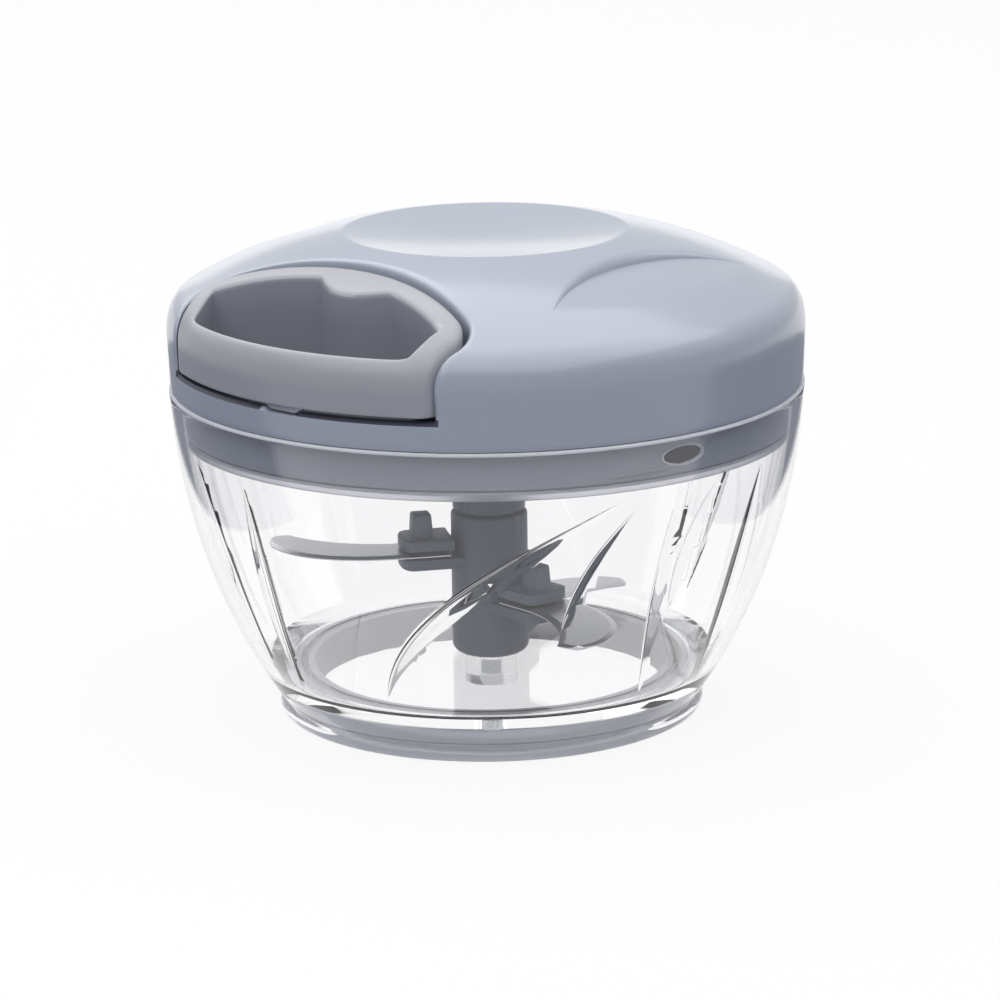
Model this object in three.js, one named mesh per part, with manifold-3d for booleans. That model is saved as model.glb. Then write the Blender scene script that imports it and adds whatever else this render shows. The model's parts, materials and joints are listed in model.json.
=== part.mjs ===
// Pull-cord food chopper: a clear bowl, a domed lid with a reel and a return spring inside,
// a D-shaped handle on a cord, and a column with three blades that stands on a pin in the bowl.
// Millimetres. +Z is up, the origin is the middle of the foot, and the handle pulls along -Y.
import * as THREE from 'three';
import { mergeVertices } from 'three/addons/utils/BufferGeometryUtils.js';
import Module from 'manifold-3d';

const wasm = await Module();
wasm.setup();

// Clearances and counts
const seatGap = 0.3;
const overrun = 4;
const roundSteps = 48;
const ringSteps = 36;
const smallSteps = 20;

// Bowl
const rimRadius = 61.45;
const rimZ = 65.1;
const waistRadius = 40.8;
const waistZ = 2.6;
const bellyInset = 1.95;
const bellyZ = 29.5;
const bowlWall = 1.9;
const floorZ = 10.1;
const floorThickness = 2.2;
const floorInset = 1.3;
const footOverhang = 0.8;
const footLift = 0.4;
const footFlange = 1.6;
const footWall = 2.2;
const ribHeight = 1.2;
const ribWidth = 5.2;
const ribSink = 0.9;
const ribRidgeShare = -0.4;

// Anti-slip ring under the foot
const ringWidth = 4.3;
const tongueWidth = 0.9;
const tongueDepth = 3.9;

// Spindle pin in the bowl floor
const pinRadius = 2;
const pinTopZ = 30;
const pinBossRadius = 5.1;
const pinBossDepth = 5.5;
const pinFloor = 1.5;

// Lid cover
const lidOverhang = 0.05;
const lidDraft = 0.4;
const shoulderDrop = 7.14;
const lidShoulderWidth = 3.7;
const domeInset = 2.7;
const domeDrop = 12.86;
const domePower = 2.58;
const dishRadius = 27.3;
const dishDepth = 1.7;
const coverWall = 1.9;
const coverRoof = 3.6;
const scallopRadius = 65;
const scallopInnerInset = 27.1;
const scallopOuterInset = 11.5;
const scallopDepth = 1.8;

// Lid plate, skirt and seal
const plateLift = 1.2;
const plateThickness = 1.8;
const skirtGap = 0.33;
const skirtWall = 1.8;
const skirtDepth = 8.7;
const windowWidth = 8.6;
const windowHeight = 3.2;
const windowLift = 3.4;
const windowAngle = 78.5;
const windowDepth = 1;
const sealHeight = 1.7;

// Pull handle and its pocket
const handleHalfWidth = 33;
const handleHipRadius = 5;
const handleLean = 12;
const handleBackY = -34.9;
const handleBackRadius = 75.7;
const handleBelowCord = 6;
const handleWall = 4.7;
const handleFrontWall = 2.9;
const handleDrop = 0.7;
const pocketGap = 1.6;
const pocketFloorGap = 0.5;
const cordX = 3.5;
const bossRadius = 10;
const bossBulge = 9.1;
const tabHalfWidth = 6;
const tabDepth = 1.2;
const tabThickness = 2.2;

// Cord
const cordRadius = 1;
const cordHole = 1.5;
const windingLift = 0.5;
const windingPitch = 2.5;
const windingTurns = 2.4;
const knotRadius = 2.3;
const knotInset = 5.2;
const guideFlange = 0.7;
const guideRim = 0.7;

// Reel
const drumRadius = 21.5;
const drumWall = 1.7;
const reelFlangeRadius = 27;
const reelFlange = 1.5;
const postRadius = 3.4;
const hubWall = 3.2;
const coverDisc = 1.1;
const ceilingGap = 4.8;

// Ratchet and pawls
const ratchetRadius = 18;
const ratchetValley = 15.9;
const ratchetCrest = 14.3;
const ratchetHeight = 4.1;
const ratchetTeeth = 12;
const pawlCount = 3;
const pawlHub = 7.3;
const pawlHubWall = 1.9;
const pawlWidth = 1.5;
const pawlThickness = 3;
const pawlSweep = 55;

// Mainspring
const springTurns = 4;
const springThickness = 0.45;
const springHeight = 6.6;

// Drive socket and its bush
const driveRadius = 7.1;
const driveColumnGap = 0.4;
const driveFlangeRadius = 12.2;
const driveFlange = 1.3;
const driveSocketDepth = 14;
const keyRadius = 1.1;
const keyPitchRadius = 8.25;
const bushWall = 1.5;
const bushHeight = 4.6;
const plateHubWall = 1.9;

// Blade column and blades
const columnRadius = 7.5;
const columnTopZ = 38.6;
const columnChamfer = 1;
const headRadius = 4.9;
const headHeight = 13;
const armLength = 18;
const armWidth = 10;
const armThickness = 2.2;
const bladeThickness = 0.9;
const bladeEdge = 0.2;
const bladeRootX = 8.8;
const bladeRootWidth = 11;
const bladeWallGap = 3.75;
const bladeSweep = 16.8;
const bladeBelly = 5;
const bladeBellyReach = 19.5;
const bladeHollow = 7;
const bladeHollowReach = 12;
const bladeTipRise = 7.3;
const bladeTipOut = 0.6;
const bladeTipWidth = 4.5;
const bladeBevel = 1.3;
const pegWidth = 4.2;
const pegHeight = 4.6;
const pegX = 13.6;
const pegShank = 1.3;
const bladeLowZ = 13.9;
const bladeStepZ = 8.75;
const bladeFirstAngle = 113;

// Screws
const screwRadius = 1.2;
const screwHeadRadius = 2.7;
const screwHeadHeight = 1.4;
const screwHeadDome = 0.8;
const screwLength = 11;
const screwInset = 10.9;
const screwAngles = [55, 125, 195, 345];
const screwBossWall = 2;
const screwSlot = 0.8;
const washerRadius = 6.4;
const washerThickness = 0.7;

// Radii that follow the bowl's rim and waist
const bellyRadius = rimRadius - bellyInset;
const floorRadius = waistRadius - floorInset;
const footRadius = waistRadius + footOverhang;
const lidRadius = rimRadius + lidOverhang;
const domeRadius = lidRadius - domeInset;
const scallopInnerX = lidRadius - scallopInnerInset;
const scallopOuterRadius = lidRadius - scallopOuterInset;

// Heights built up from the bowl's rim, through the mechanism to the top of the dome
const lidEdgeZ = rimZ + seatGap;
const plateZ = rimZ + plateLift;
const skirtBottomZ = plateZ - skirtDepth;
const windowZ = skirtBottomZ + windowLift;
const plateTopZ = plateZ + plateThickness;
const driveFlangeZ = plateTopZ + seatGap;
const driveTopZ = driveFlangeZ + driveFlange;
const pawlZ = driveTopZ + seatGap;
const postBottomZ = pawlZ + pawlThickness + seatGap;
const reelWebZ = pawlZ + ratchetHeight + seatGap;
const webTopZ = reelWebZ + reelFlange;
const cordZ = webTopZ + cordRadius + windingLift;
const windingTopZ = cordZ + windingPitch * windingTurns;
const upperFlangeZ = windingTopZ + cordRadius + seatGap;
const reelTopZ = upperFlangeZ + reelFlange;
const ceilingZ = reelTopZ + seatGap + coverDisc + ceilingGap;
const domeTopZ = ceilingZ + coverRoof;
const lidShoulderZ = domeTopZ - domeDrop - shoulderDrop;
const handleBottomZ = cordZ - handleBelowCord;
const driveBottomZ = columnTopZ + driveColumnGap;

const degrees = THREE.MathUtils.degToRad;

// Solids: closed geometry made into a body that can be joined and cut, and back again.

function signedVolume(position, index) {
  const [a, b, c] = [new THREE.Vector3(), new THREE.Vector3(), new THREE.Vector3()];
  let volume = 0;
  for (let i = 0; i < index.length; i += 3) {
    a.fromBufferAttribute(position, index[i]);
    b.fromBufferAttribute(position, index[i + 1]);
    c.fromBufferAttribute(position, index[i + 2]);
    volume += a.dot(b.cross(c));
  }
  return volume;
}

// One closed body from a geometry: shared corners merged, flat triangles dropped, faces outwards.
function solid(geometry) {
  const bare = geometry.clone();
  for (const name of Object.keys(bare.attributes)) if (name !== 'position') bare.deleteAttribute(name);
  const merged = mergeVertices(bare);
  const position = merged.getAttribute('position');
  const corners = [...merged.index.array];
  const kept = [];
  for (let i = 0; i < corners.length; i += 3) {
    const [a, b, c] = corners.slice(i, i + 3);
    if (a !== b && b !== c && c !== a) kept.push(a, b, c);
  }
  if (signedVolume(position, kept) < 0) kept.reverse();
  return new wasm.Manifold(new wasm.Mesh({
    numProp: 3,
    vertProperties: new Float32Array(position.array),
    triVerts: new Uint32Array(kept),
  }));
}

function geometryOf(body) {
  const { vertProperties, triVerts } = body.getMesh();
  const geometry = new THREE.BufferGeometry();
  geometry.setAttribute('position', new THREE.BufferAttribute(new Float32Array(vertProperties), 3));
  geometry.setIndex([...triVerts]);
  const faceted = geometry.toNonIndexed();
  faceted.computeVertexNormals();
  return faceted;
}

const group = new THREE.Group();
group.name = 'pull_cord_chopper';

function add(name, body, finish) {
  const material = new THREE.MeshStandardMaterial(finish);
  const mesh = new THREE.Mesh(geometryOf(body), material);
  mesh.name = name;
  group.add(mesh);
  return mesh;
}

// A profile of [radius, height] pairs turned round the Z axis.
function turned(profile, steps = roundSteps) {
  const points = profile.map(([radius, height]) => new THREE.Vector2(radius, height));
  return solid(new THREE.LatheGeometry(points, steps).rotateX(Math.PI / 2));
}

// A closed ring section turned round the Z axis.
function turnedRing(section, steps = roundSteps) {
  return turned([...section, section[0]], steps);
}

function sleeve(inner, outer, low, high, steps = smallSteps) {
  return turnedRing([[inner, low], [outer, low], [outer, high], [inner, high]], steps);
}

function rod(radius, low, high, steps = smallSteps) {
  return turned([[0, low], [radius, low], [radius, high], [0, high]], steps);
}

// An outline in the XY plane raised from one height to another.
function prism(shape, low, high, curveSegments = 8) {
  const depth = high - low;
  const geometry = new THREE.ExtrudeGeometry(shape, { depth, bevelEnabled: false, curveSegments });
  return solid(geometry.translate(0, 0, low));
}

function outlineOf(points) {
  return new THREE.Shape(points.map(([x, y]) => new THREE.Vector2(x, y)));
}

function box(lowCorner, highCorner) {
  const size = new THREE.Vector3().subVectors(highCorner, lowCorner);
  const middle = new THREE.Vector3().addVectors(lowCorner, highCorner).multiplyScalar(0.5);
  return solid(new THREE.BoxGeometry(size.x, size.y, size.z).translate(middle.x, middle.y, middle.z));
}

function turnZ(body, angle) {
  return body.rotate([0, 0, angle]);
}

function joined(bodies) {
  return bodies.reduce((whole, body) => whole.add(body));
}

function polar(radius, angle) {
  return [radius * Math.cos(angle), radius * Math.sin(angle)];
}

// Bowl: one quadratic curve from the waist to the rim, followed inside by the wall's thickness.

const wallCurve = new THREE.QuadraticBezierCurve(
  new THREE.Vector2(waistRadius, waistZ),
  new THREE.Vector2(bellyRadius, bellyZ),
  new THREE.Vector2(rimRadius, rimZ),
);

function innerWallPoint(share) {
  const point = wallCurve.getPoint(share);
  const along = wallCurve.getTangent(share);
  return [point.x - bowlWall * along.y, point.y + bowlWall * along.x];
}

// The inner wall's radius at a height, found between two neighbouring points of the wall.
function innerRadiusAt(height) {
  const steps = 60;
  let below = innerWallPoint(0);
  for (let i = 1; i <= steps; i += 1) {
    const above = innerWallPoint(i / steps);
    if (above[1] >= height) {
      return THREE.MathUtils.mapLinear(height, below[1], above[1], below[0], above[0]);
    }
    below = above;
  }
  return below[0];
}

const skirtRadius = innerRadiusAt(skirtBottomZ - sealHeight) - skirtGap;
const bladeTipX = innerRadiusAt(bladeLowZ) - bladeWallGap;

// The ribs swept into the inside of the wall. Each row gives the turn in degrees from the handle at
// the foot, the middle and the top, the heights of both ends as shares of the bowl's height, and its
// width as a share of the widest rib. The whole set comes twice, half a turn apart.
const ribShares = [
  { turns: [-19.3, -19.5, -24], heights: [0.23, 0.83], width: 0.6 },
  { turns: [-10, -7.6, -8.3], heights: [0.2, 0.82], width: 0.9 },
  { turns: [17, 34, 66], heights: [0.22, 0.83], width: 0.85 },
  { turns: [55.5, 60.2, 68.6], heights: [0.45, 0.8], width: 0.4 },
  { turns: [78.2, 75.9, 76.6], heights: [0.2, 0.79], width: 0.6 },
  { turns: [79, 81, 86.5], heights: [0.48, 0.84], width: 0.55 },
  { turns: [99.5, 99.2, 100], heights: [0.2, 0.84], width: 1.2 },
];
const ribEndShare = 0.12;

function rib({ turns, heights, width }) {
  const [foot, top] = heights.map((share) => share * rimZ);
  const path = new THREE.QuadraticBezierCurve(
    new THREE.Vector2(turns[0], foot),
    new THREE.Vector2(2 * turns[1] - (turns[0] + turns[2]) / 2, (foot + top) / 2),
    new THREE.Vector2(turns[2], top),
  );
  const steps = 6;
  const corners = [];
  for (let i = 0; i <= steps; i += 1) {
    const share = i / steps;
    const { x: turn, y: height } = path.getPoint(share);
    const swell = ribEndShare + (1 - ribEndShare) * Math.sin(Math.PI * share);
    const radius = innerRadiusAt(height);
    const along = path.getTangent(share);
    const slant = new THREE.Vector2(degrees(along.x) * radius, along.y).normalize();
    const half = width * ribWidth * swell / 2;
    for (const side of [-1, ribRidgeShare, 1]) {
      const angle = degrees(turn - 90) + side * half * slant.y / radius;
      const level = height - side * half * slant.x;
      const depth = side === ribRidgeShare ? -ribHeight * swell : ribSink;
      corners.push(...polar(innerRadiusAt(level) + depth, angle), level);
    }
  }
  const faces = [0, 2, 1];
  for (let i = 0; i < steps; i += 1) {
    for (let k = 0; k < 3; k += 1) {
      const [a, b] = [3 * i + k, 3 * i + (k + 1) % 3];
      faces.push(a, b, b + 3, a, b + 3, a + 3);
    }
  }
  const last = 3 * steps;
  faces.push(last, last + 1, last + 2);
  const geometry = new THREE.BufferGeometry();
  geometry.setAttribute('position', new THREE.Float32BufferAttribute(corners, 3));
  geometry.setIndex(faces);
  return solid(geometry);
}

const floorUnderZ = floorZ - floorThickness;
const footInner = footRadius - footWall;
const ringOuter = footInner - seatGap;
const ringInner = ringOuter - ringWidth;
const tongueRadius = (ringInner + ringOuter) / 2;
const pinHole = pinRadius + seatGap;
const pinSeatZ = floorUnderZ - pinBossDepth + pinFloor;

function makeBowl() {
  const innerShares = [1, 0.8, 0.62, 0.45, 0.3, 0.13];
  const outerShares = [...innerShares, 0];
  const floorTurn = innerWallPoint(innerShares.at(-1));
  const fillet = new THREE.QuadraticBezierCurve(
    new THREE.Vector2(floorRadius, floorZ),
    new THREE.Vector2(floorRadius + (floorTurn[0] - floorRadius) / 2, floorZ),
    new THREE.Vector2(...floorTurn),
  );
  const inner = innerShares.map(innerWallPoint).reverse();
  inner[inner.length - 1] = [rimRadius - bowlWall, rimZ];
  const outer = outerShares.map((share) => wallCurve.getPoint(share).toArray());
  const profile = [
    [0, pinSeatZ],
    [pinHole, pinSeatZ],
    [pinHole, floorZ],
    ...fillet.getPoints(3).slice(0, -1).map((point) => point.toArray()),
    ...inner,
    ...outer,
    [footRadius, waistZ - footFlange / 2],
    [footRadius, footLift],
    [footInner, footLift],
    [footInner, floorUnderZ],
    [tongueRadius + tongueWidth / 2, floorUnderZ],
    [tongueRadius + tongueWidth / 2, floorUnderZ - tongueDepth],
    [tongueRadius - tongueWidth / 2, floorUnderZ - tongueDepth],
    [tongueRadius - tongueWidth / 2, floorUnderZ],
    [pinBossRadius, floorUnderZ],
    [pinBossRadius, floorUnderZ - pinBossDepth],
    [0, floorUnderZ - pinBossDepth],
  ];
  const ribs = ribShares.map(rib);
  return joined([turned(profile), ...ribs, ...ribs.map((body) => turnZ(body, 180))]);
}

function makeAntiSlipRing() {
  const top = floorUnderZ - seatGap;
  const groove = tongueWidth / 2 + seatGap;
  const grooveZ = floorUnderZ - tongueDepth - seatGap;
  return turnedRing([
    [ringInner, 0],
    [ringOuter, 0],
    [ringOuter, top],
    [tongueRadius + groove, top],
    [tongueRadius + groove, grooveZ],
    [tongueRadius - groove, grooveZ],
    [tongueRadius - groove, top],
    [ringInner, top],
  ], ringSteps);
}

function makeSpindlePin() {
  const tip = pinRadius / 2;
  const foot = pinSeatZ + seatGap;
  const shoulder = pinTopZ - tip;
  return turned([[0, foot], [pinRadius, foot], [pinRadius, shoulder], [tip, pinTopZ], [0, pinTopZ]], 16);
}

// Lid: outer form, then the same form drawn in for the hollow and for what sits under the surface.

// The dome's height at a radius. Its middle is a shallow dish with a crisp rim.
function domeHeightAt(radius) {
  const dome = domeTopZ - domeDrop * (Math.max(radius, dishRadius) / domeRadius) ** domePower;
  return dome - dishDepth * Math.max(1 - (radius / dishRadius) ** 2, 0);
}

function shoulderCurve(inset, drop) {
  const edge = lidRadius - lidShoulderWidth;
  const nearby = edge - lidShoulderWidth;
  const slope = (domeHeightAt(edge) - domeHeightAt(nearby)) / (edge - nearby);
  const corner = domeHeightAt(edge) + slope * lidShoulderWidth;
  return new THREE.QuadraticBezierCurve(
    new THREE.Vector2(lidRadius - inset, lidShoulderZ - drop),
    new THREE.Vector2(lidRadius - inset, corner - drop),
    new THREE.Vector2(edge - inset, domeHeightAt(edge) - drop),
  );
}

// The lid's outer form as a full solid, its walls drawn in by an inset and its dome lowered by a drop.
function lidForm(inset, drop, low, domeShares) {
  const edge = lidRadius - lidShoulderWidth;
  const dome = domeShares.map((share) => [share * (edge - inset), domeHeightAt(share * edge) - drop]);
  return turned([
    [0, low],
    [lidRadius - lidDraft - inset, low],
    ...shoulderCurve(inset, drop).getPoints(3).map((point) => point.toArray()),
    ...dome,
  ]);
}

const outerDomeShares = [0.84, 0.66, dishRadius / (lidRadius - lidShoulderWidth), 0.39, 0.3, 0.17, 0];
const plainDomeShares = [0.8, 0.47, 0];

// A grip scallop: the dome is lowered behind a curved crease and meets the old surface further out.
function scallopCutter(side) {
  const shares = [1, 0.66, 0.33, 0];
  const lowered = shares.map((share) => {
    const radius = THREE.MathUtils.lerp(scallopInnerX, scallopOuterRadius, share);
    return [radius, domeHeightAt(radius) - scallopDepth * (1 - share) + share * seatGap];
  });
  const region = turnedRing([
    ...lowered,
    [scallopInnerX, domeTopZ + overrun],
    [scallopOuterRadius, domeTopZ + overrun],
  ]);
  const sweep = new THREE.Shape();
  sweep.absarc(side * (scallopInnerX + scallopRadius), 0, scallopRadius, 0, 2 * Math.PI);
  return region.intersect(prism(sweep, lidShoulderZ, domeTopZ + 2 * overrun, 32));
}

// The handle's D outline, grown or drawn in by one distance: sides that lean in to the front, hip arcs
// and a long back arc.
function handleOutline(grow, frontY) {
  const centreY = handleBackY - handleBackRadius;
  const hipX = handleHalfWidth - handleHipRadius;
  const reach = handleBackRadius - handleHipRadius;
  const hipY = centreY + Math.sqrt(reach ** 2 - hipX ** 2);
  const turn = Math.atan2(hipY - centreY, hipX);
  const lean = degrees(handleLean);
  const [across, along] = polar(handleHipRadius + grow, -lean);
  const [sideX, sideY] = [hipX + across, hipY + along];
  const frontX = sideX - (sideY - frontY) * Math.tan(lean);
  const shape = new THREE.Shape();
  shape.moveTo(frontX, frontY);
  shape.lineTo(sideX, sideY);
  shape.absarc(hipX, hipY, handleHipRadius + grow, -lean, turn);
  shape.absarc(0, centreY, handleBackRadius + grow, turn, Math.PI - turn);
  shape.absarc(-hipX, hipY, handleHipRadius + grow, Math.PI - turn, Math.PI + lean);
  shape.lineTo(-frontX, frontY);
  return shape;
}

const pocketFloorZ = handleBottomZ - pocketFloorGap;
const pocketBackY = handleBackY + pocketGap;

// The pocket's back wall, which curves away to both sides of the middle.
function pocketBackAt(x) {
  const radius = handleBackRadius + pocketGap;
  return pocketBackY - radius + Math.sqrt(radius ** 2 - x ** 2);
}

const frontY = -lidRadius - overrun;

// The pull tab under the handle's front bar, and, grown, the notch for it in the cover.
function tabBody(grow) {
  const [top, low] = [handleBottomZ + seatGap, handleBottomZ - tabDepth - grow];
  const [wide, narrow] = [tabHalfWidth + grow, tabHalfWidth / 2 + grow];
  const shape = outlineOf([
    [cordX - wide, top], [cordX - narrow, low], [cordX + narrow, low], [cordX + wide, top],
  ]);
  const depth = tabThickness + overrun + grow;
  const geometry = new THREE.ExtrudeGeometry(shape, { depth, bevelEnabled: false });
  return solid(geometry.rotateX(Math.PI / 2).translate(0, -lidRadius + tabThickness + grow, 0));
}

// A round hole along Y, where the cord passes.
function cordBore(radius, backY, nearY) {
  const length = backY - nearY;
  const geometry = new THREE.CylinderGeometry(radius, radius, length, 16);
  return solid(geometry.translate(cordX, (backY + nearY) / 2, cordZ));
}

const plateRadius = lidRadius - coverWall - lidDraft - seatGap;
const screwCircle = plateRadius - screwInset;

const postHole = screwRadius + seatGap;

function screwPlaces() {
  return screwAngles.map((angle) => polar(screwCircle, degrees(angle)));
}

function makeLidCover() {
  const outer = lidForm(0, 0, lidEdgeZ, outerDomeShares)
    .subtract(scallopCutter(1))
    .subtract(scallopCutter(-1));
  const hollow = lidForm(coverWall, coverRoof, lidEdgeZ - overrun, plainDomeShares);
  const top = domeTopZ + overrun;
  const block = prism(handleOutline(pocketGap + coverWall, frontY), pocketFloorZ - coverWall, top);
  const pocket = prism(handleOutline(pocketGap, frontY), pocketFloorZ, top);
  const post = rod(postRadius, postBottomZ, domeHeightAt(0) - coverRoof / 2, 16);
  const postCut = rod(postHole, postBottomZ - overrun, postBottomZ + screwLength, 12);
  const bosses = screwPlaces().map(([x, y]) => {
    const boss = rod(postHole + screwBossWall, plateTopZ + seatGap, domeTopZ, 16);
    return boss.translate([x, y, 0]).intersect(outer);
  });
  const bossHoles = screwPlaces().map(([x, y]) => {
    return rod(postHole, plateZ, plateZ + screwLength, 12).translate([x, y, 0]);
  });
  const guideRoom = cordHole + guideRim + seatGap;
  const guideHole = cordBore(guideRoom, pocketBackY + 2 * coverWall, pocketBackY - coverWall);
  const walls = outer.subtract(hollow.subtract(block));
  return joined([walls, post, ...bosses])
    .subtract(joined([pocket, postCut, ...bossHoles]))
    .subtract(guideHole)
    .subtract(tabBody(seatGap));
}

function makeLidPlate() {
  const bore = driveRadius + seatGap + bushWall + seatGap;
  const hub = bore + plateHubWall;
  const inner = skirtRadius - skirtWall;
  const tongue = skirtWall / 3;
  const body = turnedRing([
    [bore, plateZ - bushHeight],
    [hub, plateZ - bushHeight],
    [hub, plateZ],
    [inner, plateZ],
    [inner, skirtBottomZ],
    [inner + tongue, skirtBottomZ],
    [inner + tongue, skirtBottomZ - tongue],
    [inner + 2 * tongue, skirtBottomZ - tongue],
    [inner + 2 * tongue, skirtBottomZ],
    [skirtRadius, skirtBottomZ],
    [skirtRadius, plateZ],
    [plateRadius, plateZ],
    [plateRadius, plateTopZ],
    [bore, plateTopZ],
  ]);
  const holes = screwPlaces().map(([x, y]) => {
    return rod(postHole, plateZ - overrun, plateTopZ + overrun, 12).translate([x, y, 0]);
  });
  const oval = new THREE.Shape();
  oval.absellipse(0, 0, windowWidth / 2, windowHeight / 2, 0, 2 * Math.PI);
  const cut = new THREE.ExtrudeGeometry(oval, { depth: overrun, bevelEnabled: false, curveSegments: 8 });
  const window = solid(cut.rotateX(Math.PI / 2).translate(0, windowDepth - skirtRadius, windowZ));
  return body.subtract(joined([...holes, turnZ(window, windowAngle), turnZ(window, windowAngle + 180)]));
}

function makeLidSeal() {
  const inner = skirtRadius - skirtWall;
  const tongue = skirtWall / 3;
  const top = skirtBottomZ - seatGap;
  const low = top - sealHeight;
  const groove = tongue / 2 + seatGap;
  const middle = inner + skirtWall / 2;
  const grooveZ = skirtBottomZ - tongue - seatGap;
  return turnedRing([
    [inner, low],
    [skirtRadius - tongue / 2, low],
    [skirtRadius, low + tongue],
    [skirtRadius, top],
    [middle + groove, top],
    [middle + groove, grooveZ],
    [middle - groove, grooveZ],
    [middle - groove, top],
    [inner, top],
  ], ringSteps);
}

// A cross-slotted pan screw that points up, its head's top face at the given height.
function screw(headTop, length, headRadius, headHeight) {
  const headLow = headTop - headHeight;
  const body = turned([
    [0, headLow],
    [headRadius - screwHeadDome, headLow],
    [headRadius, headLow + headHeight / 2],
    [headRadius, headTop],
    [screwRadius, headTop],
    [screwRadius, headTop + length],
    [0, headTop + length + screwRadius],
  ], 10);
  const reach = headRadius / 2;
  const slot = box(
    new THREE.Vector3(-reach, -screwSlot / 2, headLow - overrun),
    new THREE.Vector3(reach, screwSlot / 2, headLow + headHeight / 2),
  );
  return body.subtract(slot).subtract(turnZ(slot, 90));
}

// Handle: the D ring with its cord boss, cut to just under the lid's own surface.

function makePullHandle() {
  const top = domeTopZ + overrun;
  const outline = prism(handleOutline(0, frontY), handleBottomZ, top, 10);
  const bore = rod(lidRadius - handleFrontWall, handleBottomZ - overrun, top + overrun, roundSteps);
  const inside = prism(handleOutline(-handleWall, frontY), handleBottomZ - overrun, top + overrun, 10);
  const hole = inside.intersect(bore);
  const bossY = handleBackY - bossBulge + bossRadius;
  const boss = rod(bossRadius, handleBottomZ, top).translate([cordX, bossY, 0]);
  const knotRoom = knotRadius + seatGap;
  const knotY = handleBackY - knotInset;
  const pocket = box(
    new THREE.Vector3(cordX - knotRoom, knotY - knotRoom, handleBottomZ - overrun),
    new THREE.Vector3(cordX + knotRoom, knotY + knotRoom, cordZ + knotRoom),
  );
  return outline
    .subtract(hole)
    .add(boss.intersect(outline))
    .add(tabBody(0))
    .intersect(lidForm(seatGap, handleDrop, lidEdgeZ, outerDomeShares))
    .subtract(pocket)
    .subtract(cordBore(cordHole, handleBackY + overrun, knotY));
}

// Cord: wound on the drum, then one straight run to the eyelet and on into the handle.

const windingRadius = drumRadius + seatGap + cordRadius;
const guideInnerY = pocketBackY + coverWall;

// Where a straight line from the eyelet touches the winding, on the side that turns the reel forwards.
function leadStart() {
  const distance = Math.hypot(cordX, guideInnerY);
  const toGuide = Math.atan2(guideInnerY, cordX);
  return toGuide - Math.acos(windingRadius / distance);
}

class Helix extends THREE.Curve {
  constructor(radius, start, turns, low, pitch) {
    super();
    Object.assign(this, { radius, start, turns, low, pitch });
  }

  getPoint(share, target = new THREE.Vector3()) {
    const angle = this.start - share * this.turns * 2 * Math.PI;
    return target.set(...polar(this.radius, angle), this.low + share * this.turns * this.pitch);
  }
}

class FlatSpiral extends THREE.Curve {
  constructor(innerRadius, outerRadius, turns, height) {
    super();
    Object.assign(this, { innerRadius, outerRadius, turns, height });
  }

  getPoint(share, target = new THREE.Vector3()) {
    const radius = THREE.MathUtils.lerp(this.innerRadius, this.outerRadius, share);
    return target.set(...polar(radius, share * this.turns * 2 * Math.PI), this.height);
  }
}

// The least distance between turns of a winding, less its thickness, measured on points.
function leastGap(curve, turns, thickness) {
  const perTurn = 48;
  const points = curve.getPoints(Math.round(turns * perTurn));
  let least = Infinity;
  points.forEach((point, i) => {
    for (let j = i + perTurn / 2; j < points.length; j += 1) {
      least = Math.min(least, point.distanceTo(points[j]));
    }
  });
  return least - thickness;
}

function tube(curve, section, steps) {
  return solid(new THREE.ExtrudeGeometry(section, { steps, extrudePath: curve, bevelEnabled: false }));
}

function roundSection(radius, sides) {
  const corners = Array.from({ length: sides }, (_, i) => polar(radius, (i / sides) * 2 * Math.PI));
  return outlineOf(corners);
}

function makeCordWinding() {
  const startAngle = leadStart() - seatGap / windingRadius;
  const helix = new Helix(windingRadius, startAngle, windingTurns, cordZ, windingPitch);
  console.log('cord_winding least gap', leastGap(helix, windingTurns, 2 * cordRadius).toFixed(2));
  return tube(helix, roundSection(cordRadius, 6), Math.round(windingTurns * 24));
}

function makeCordLead() {
  const [x, y] = polar(windingRadius, leadStart());
  const knotFace = handleBackY - knotInset + knotRadius + seatGap;
  const run = new THREE.Vector3(cordX - x, guideInnerY - y, 0).normalize();
  const start = new THREE.Vector3(x, y, cordZ).addScaledVector(run, seatGap);
  const route = new THREE.CurvePath();
  const bend = new THREE.Vector3(cordX, guideInnerY, cordZ);
  const before = bend.clone().addScaledVector(run, -2 * cordRadius);
  const after = new THREE.Vector3(cordX, guideInnerY - 2 * cordRadius, cordZ);
  route.add(new THREE.LineCurve3(start, before));
  route.add(new THREE.QuadraticBezierCurve3(before, bend, after));
  route.add(new THREE.LineCurve3(after, new THREE.Vector3(cordX, knotFace, cordZ)));
  return tube(route, roundSection(cordRadius, 8), 16);
}

function makeCordKnot() {
  const bead = new THREE.SphereGeometry(knotRadius, 10, 8);
  return solid(bead.translate(cordX, handleBackY - knotInset, cordZ));
}

function makeCordGuide() {
  const bore = cordRadius + seatGap;
  const outer = cordHole + guideRim;
  const section = [
    [bore, 0],
    [outer + guideRim, 0],
    [outer + guideRim, guideFlange],
    [outer, guideFlange],
    [outer, guideFlange + coverWall],
    [bore, guideFlange + coverWall],
  ];
  const points = [...section, section[0]].map(([radius, height]) => new THREE.Vector2(radius, height));
  const eyelet = new THREE.LatheGeometry(points, 20);
  const face = pocketBackAt(cordX + outer + guideRim) - seatGap;
  return solid(eyelet.translate(cordX, face - guideFlange, cordZ));
}

// Reel: cord drum outside, spring cup inside, saw teeth below.

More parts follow.
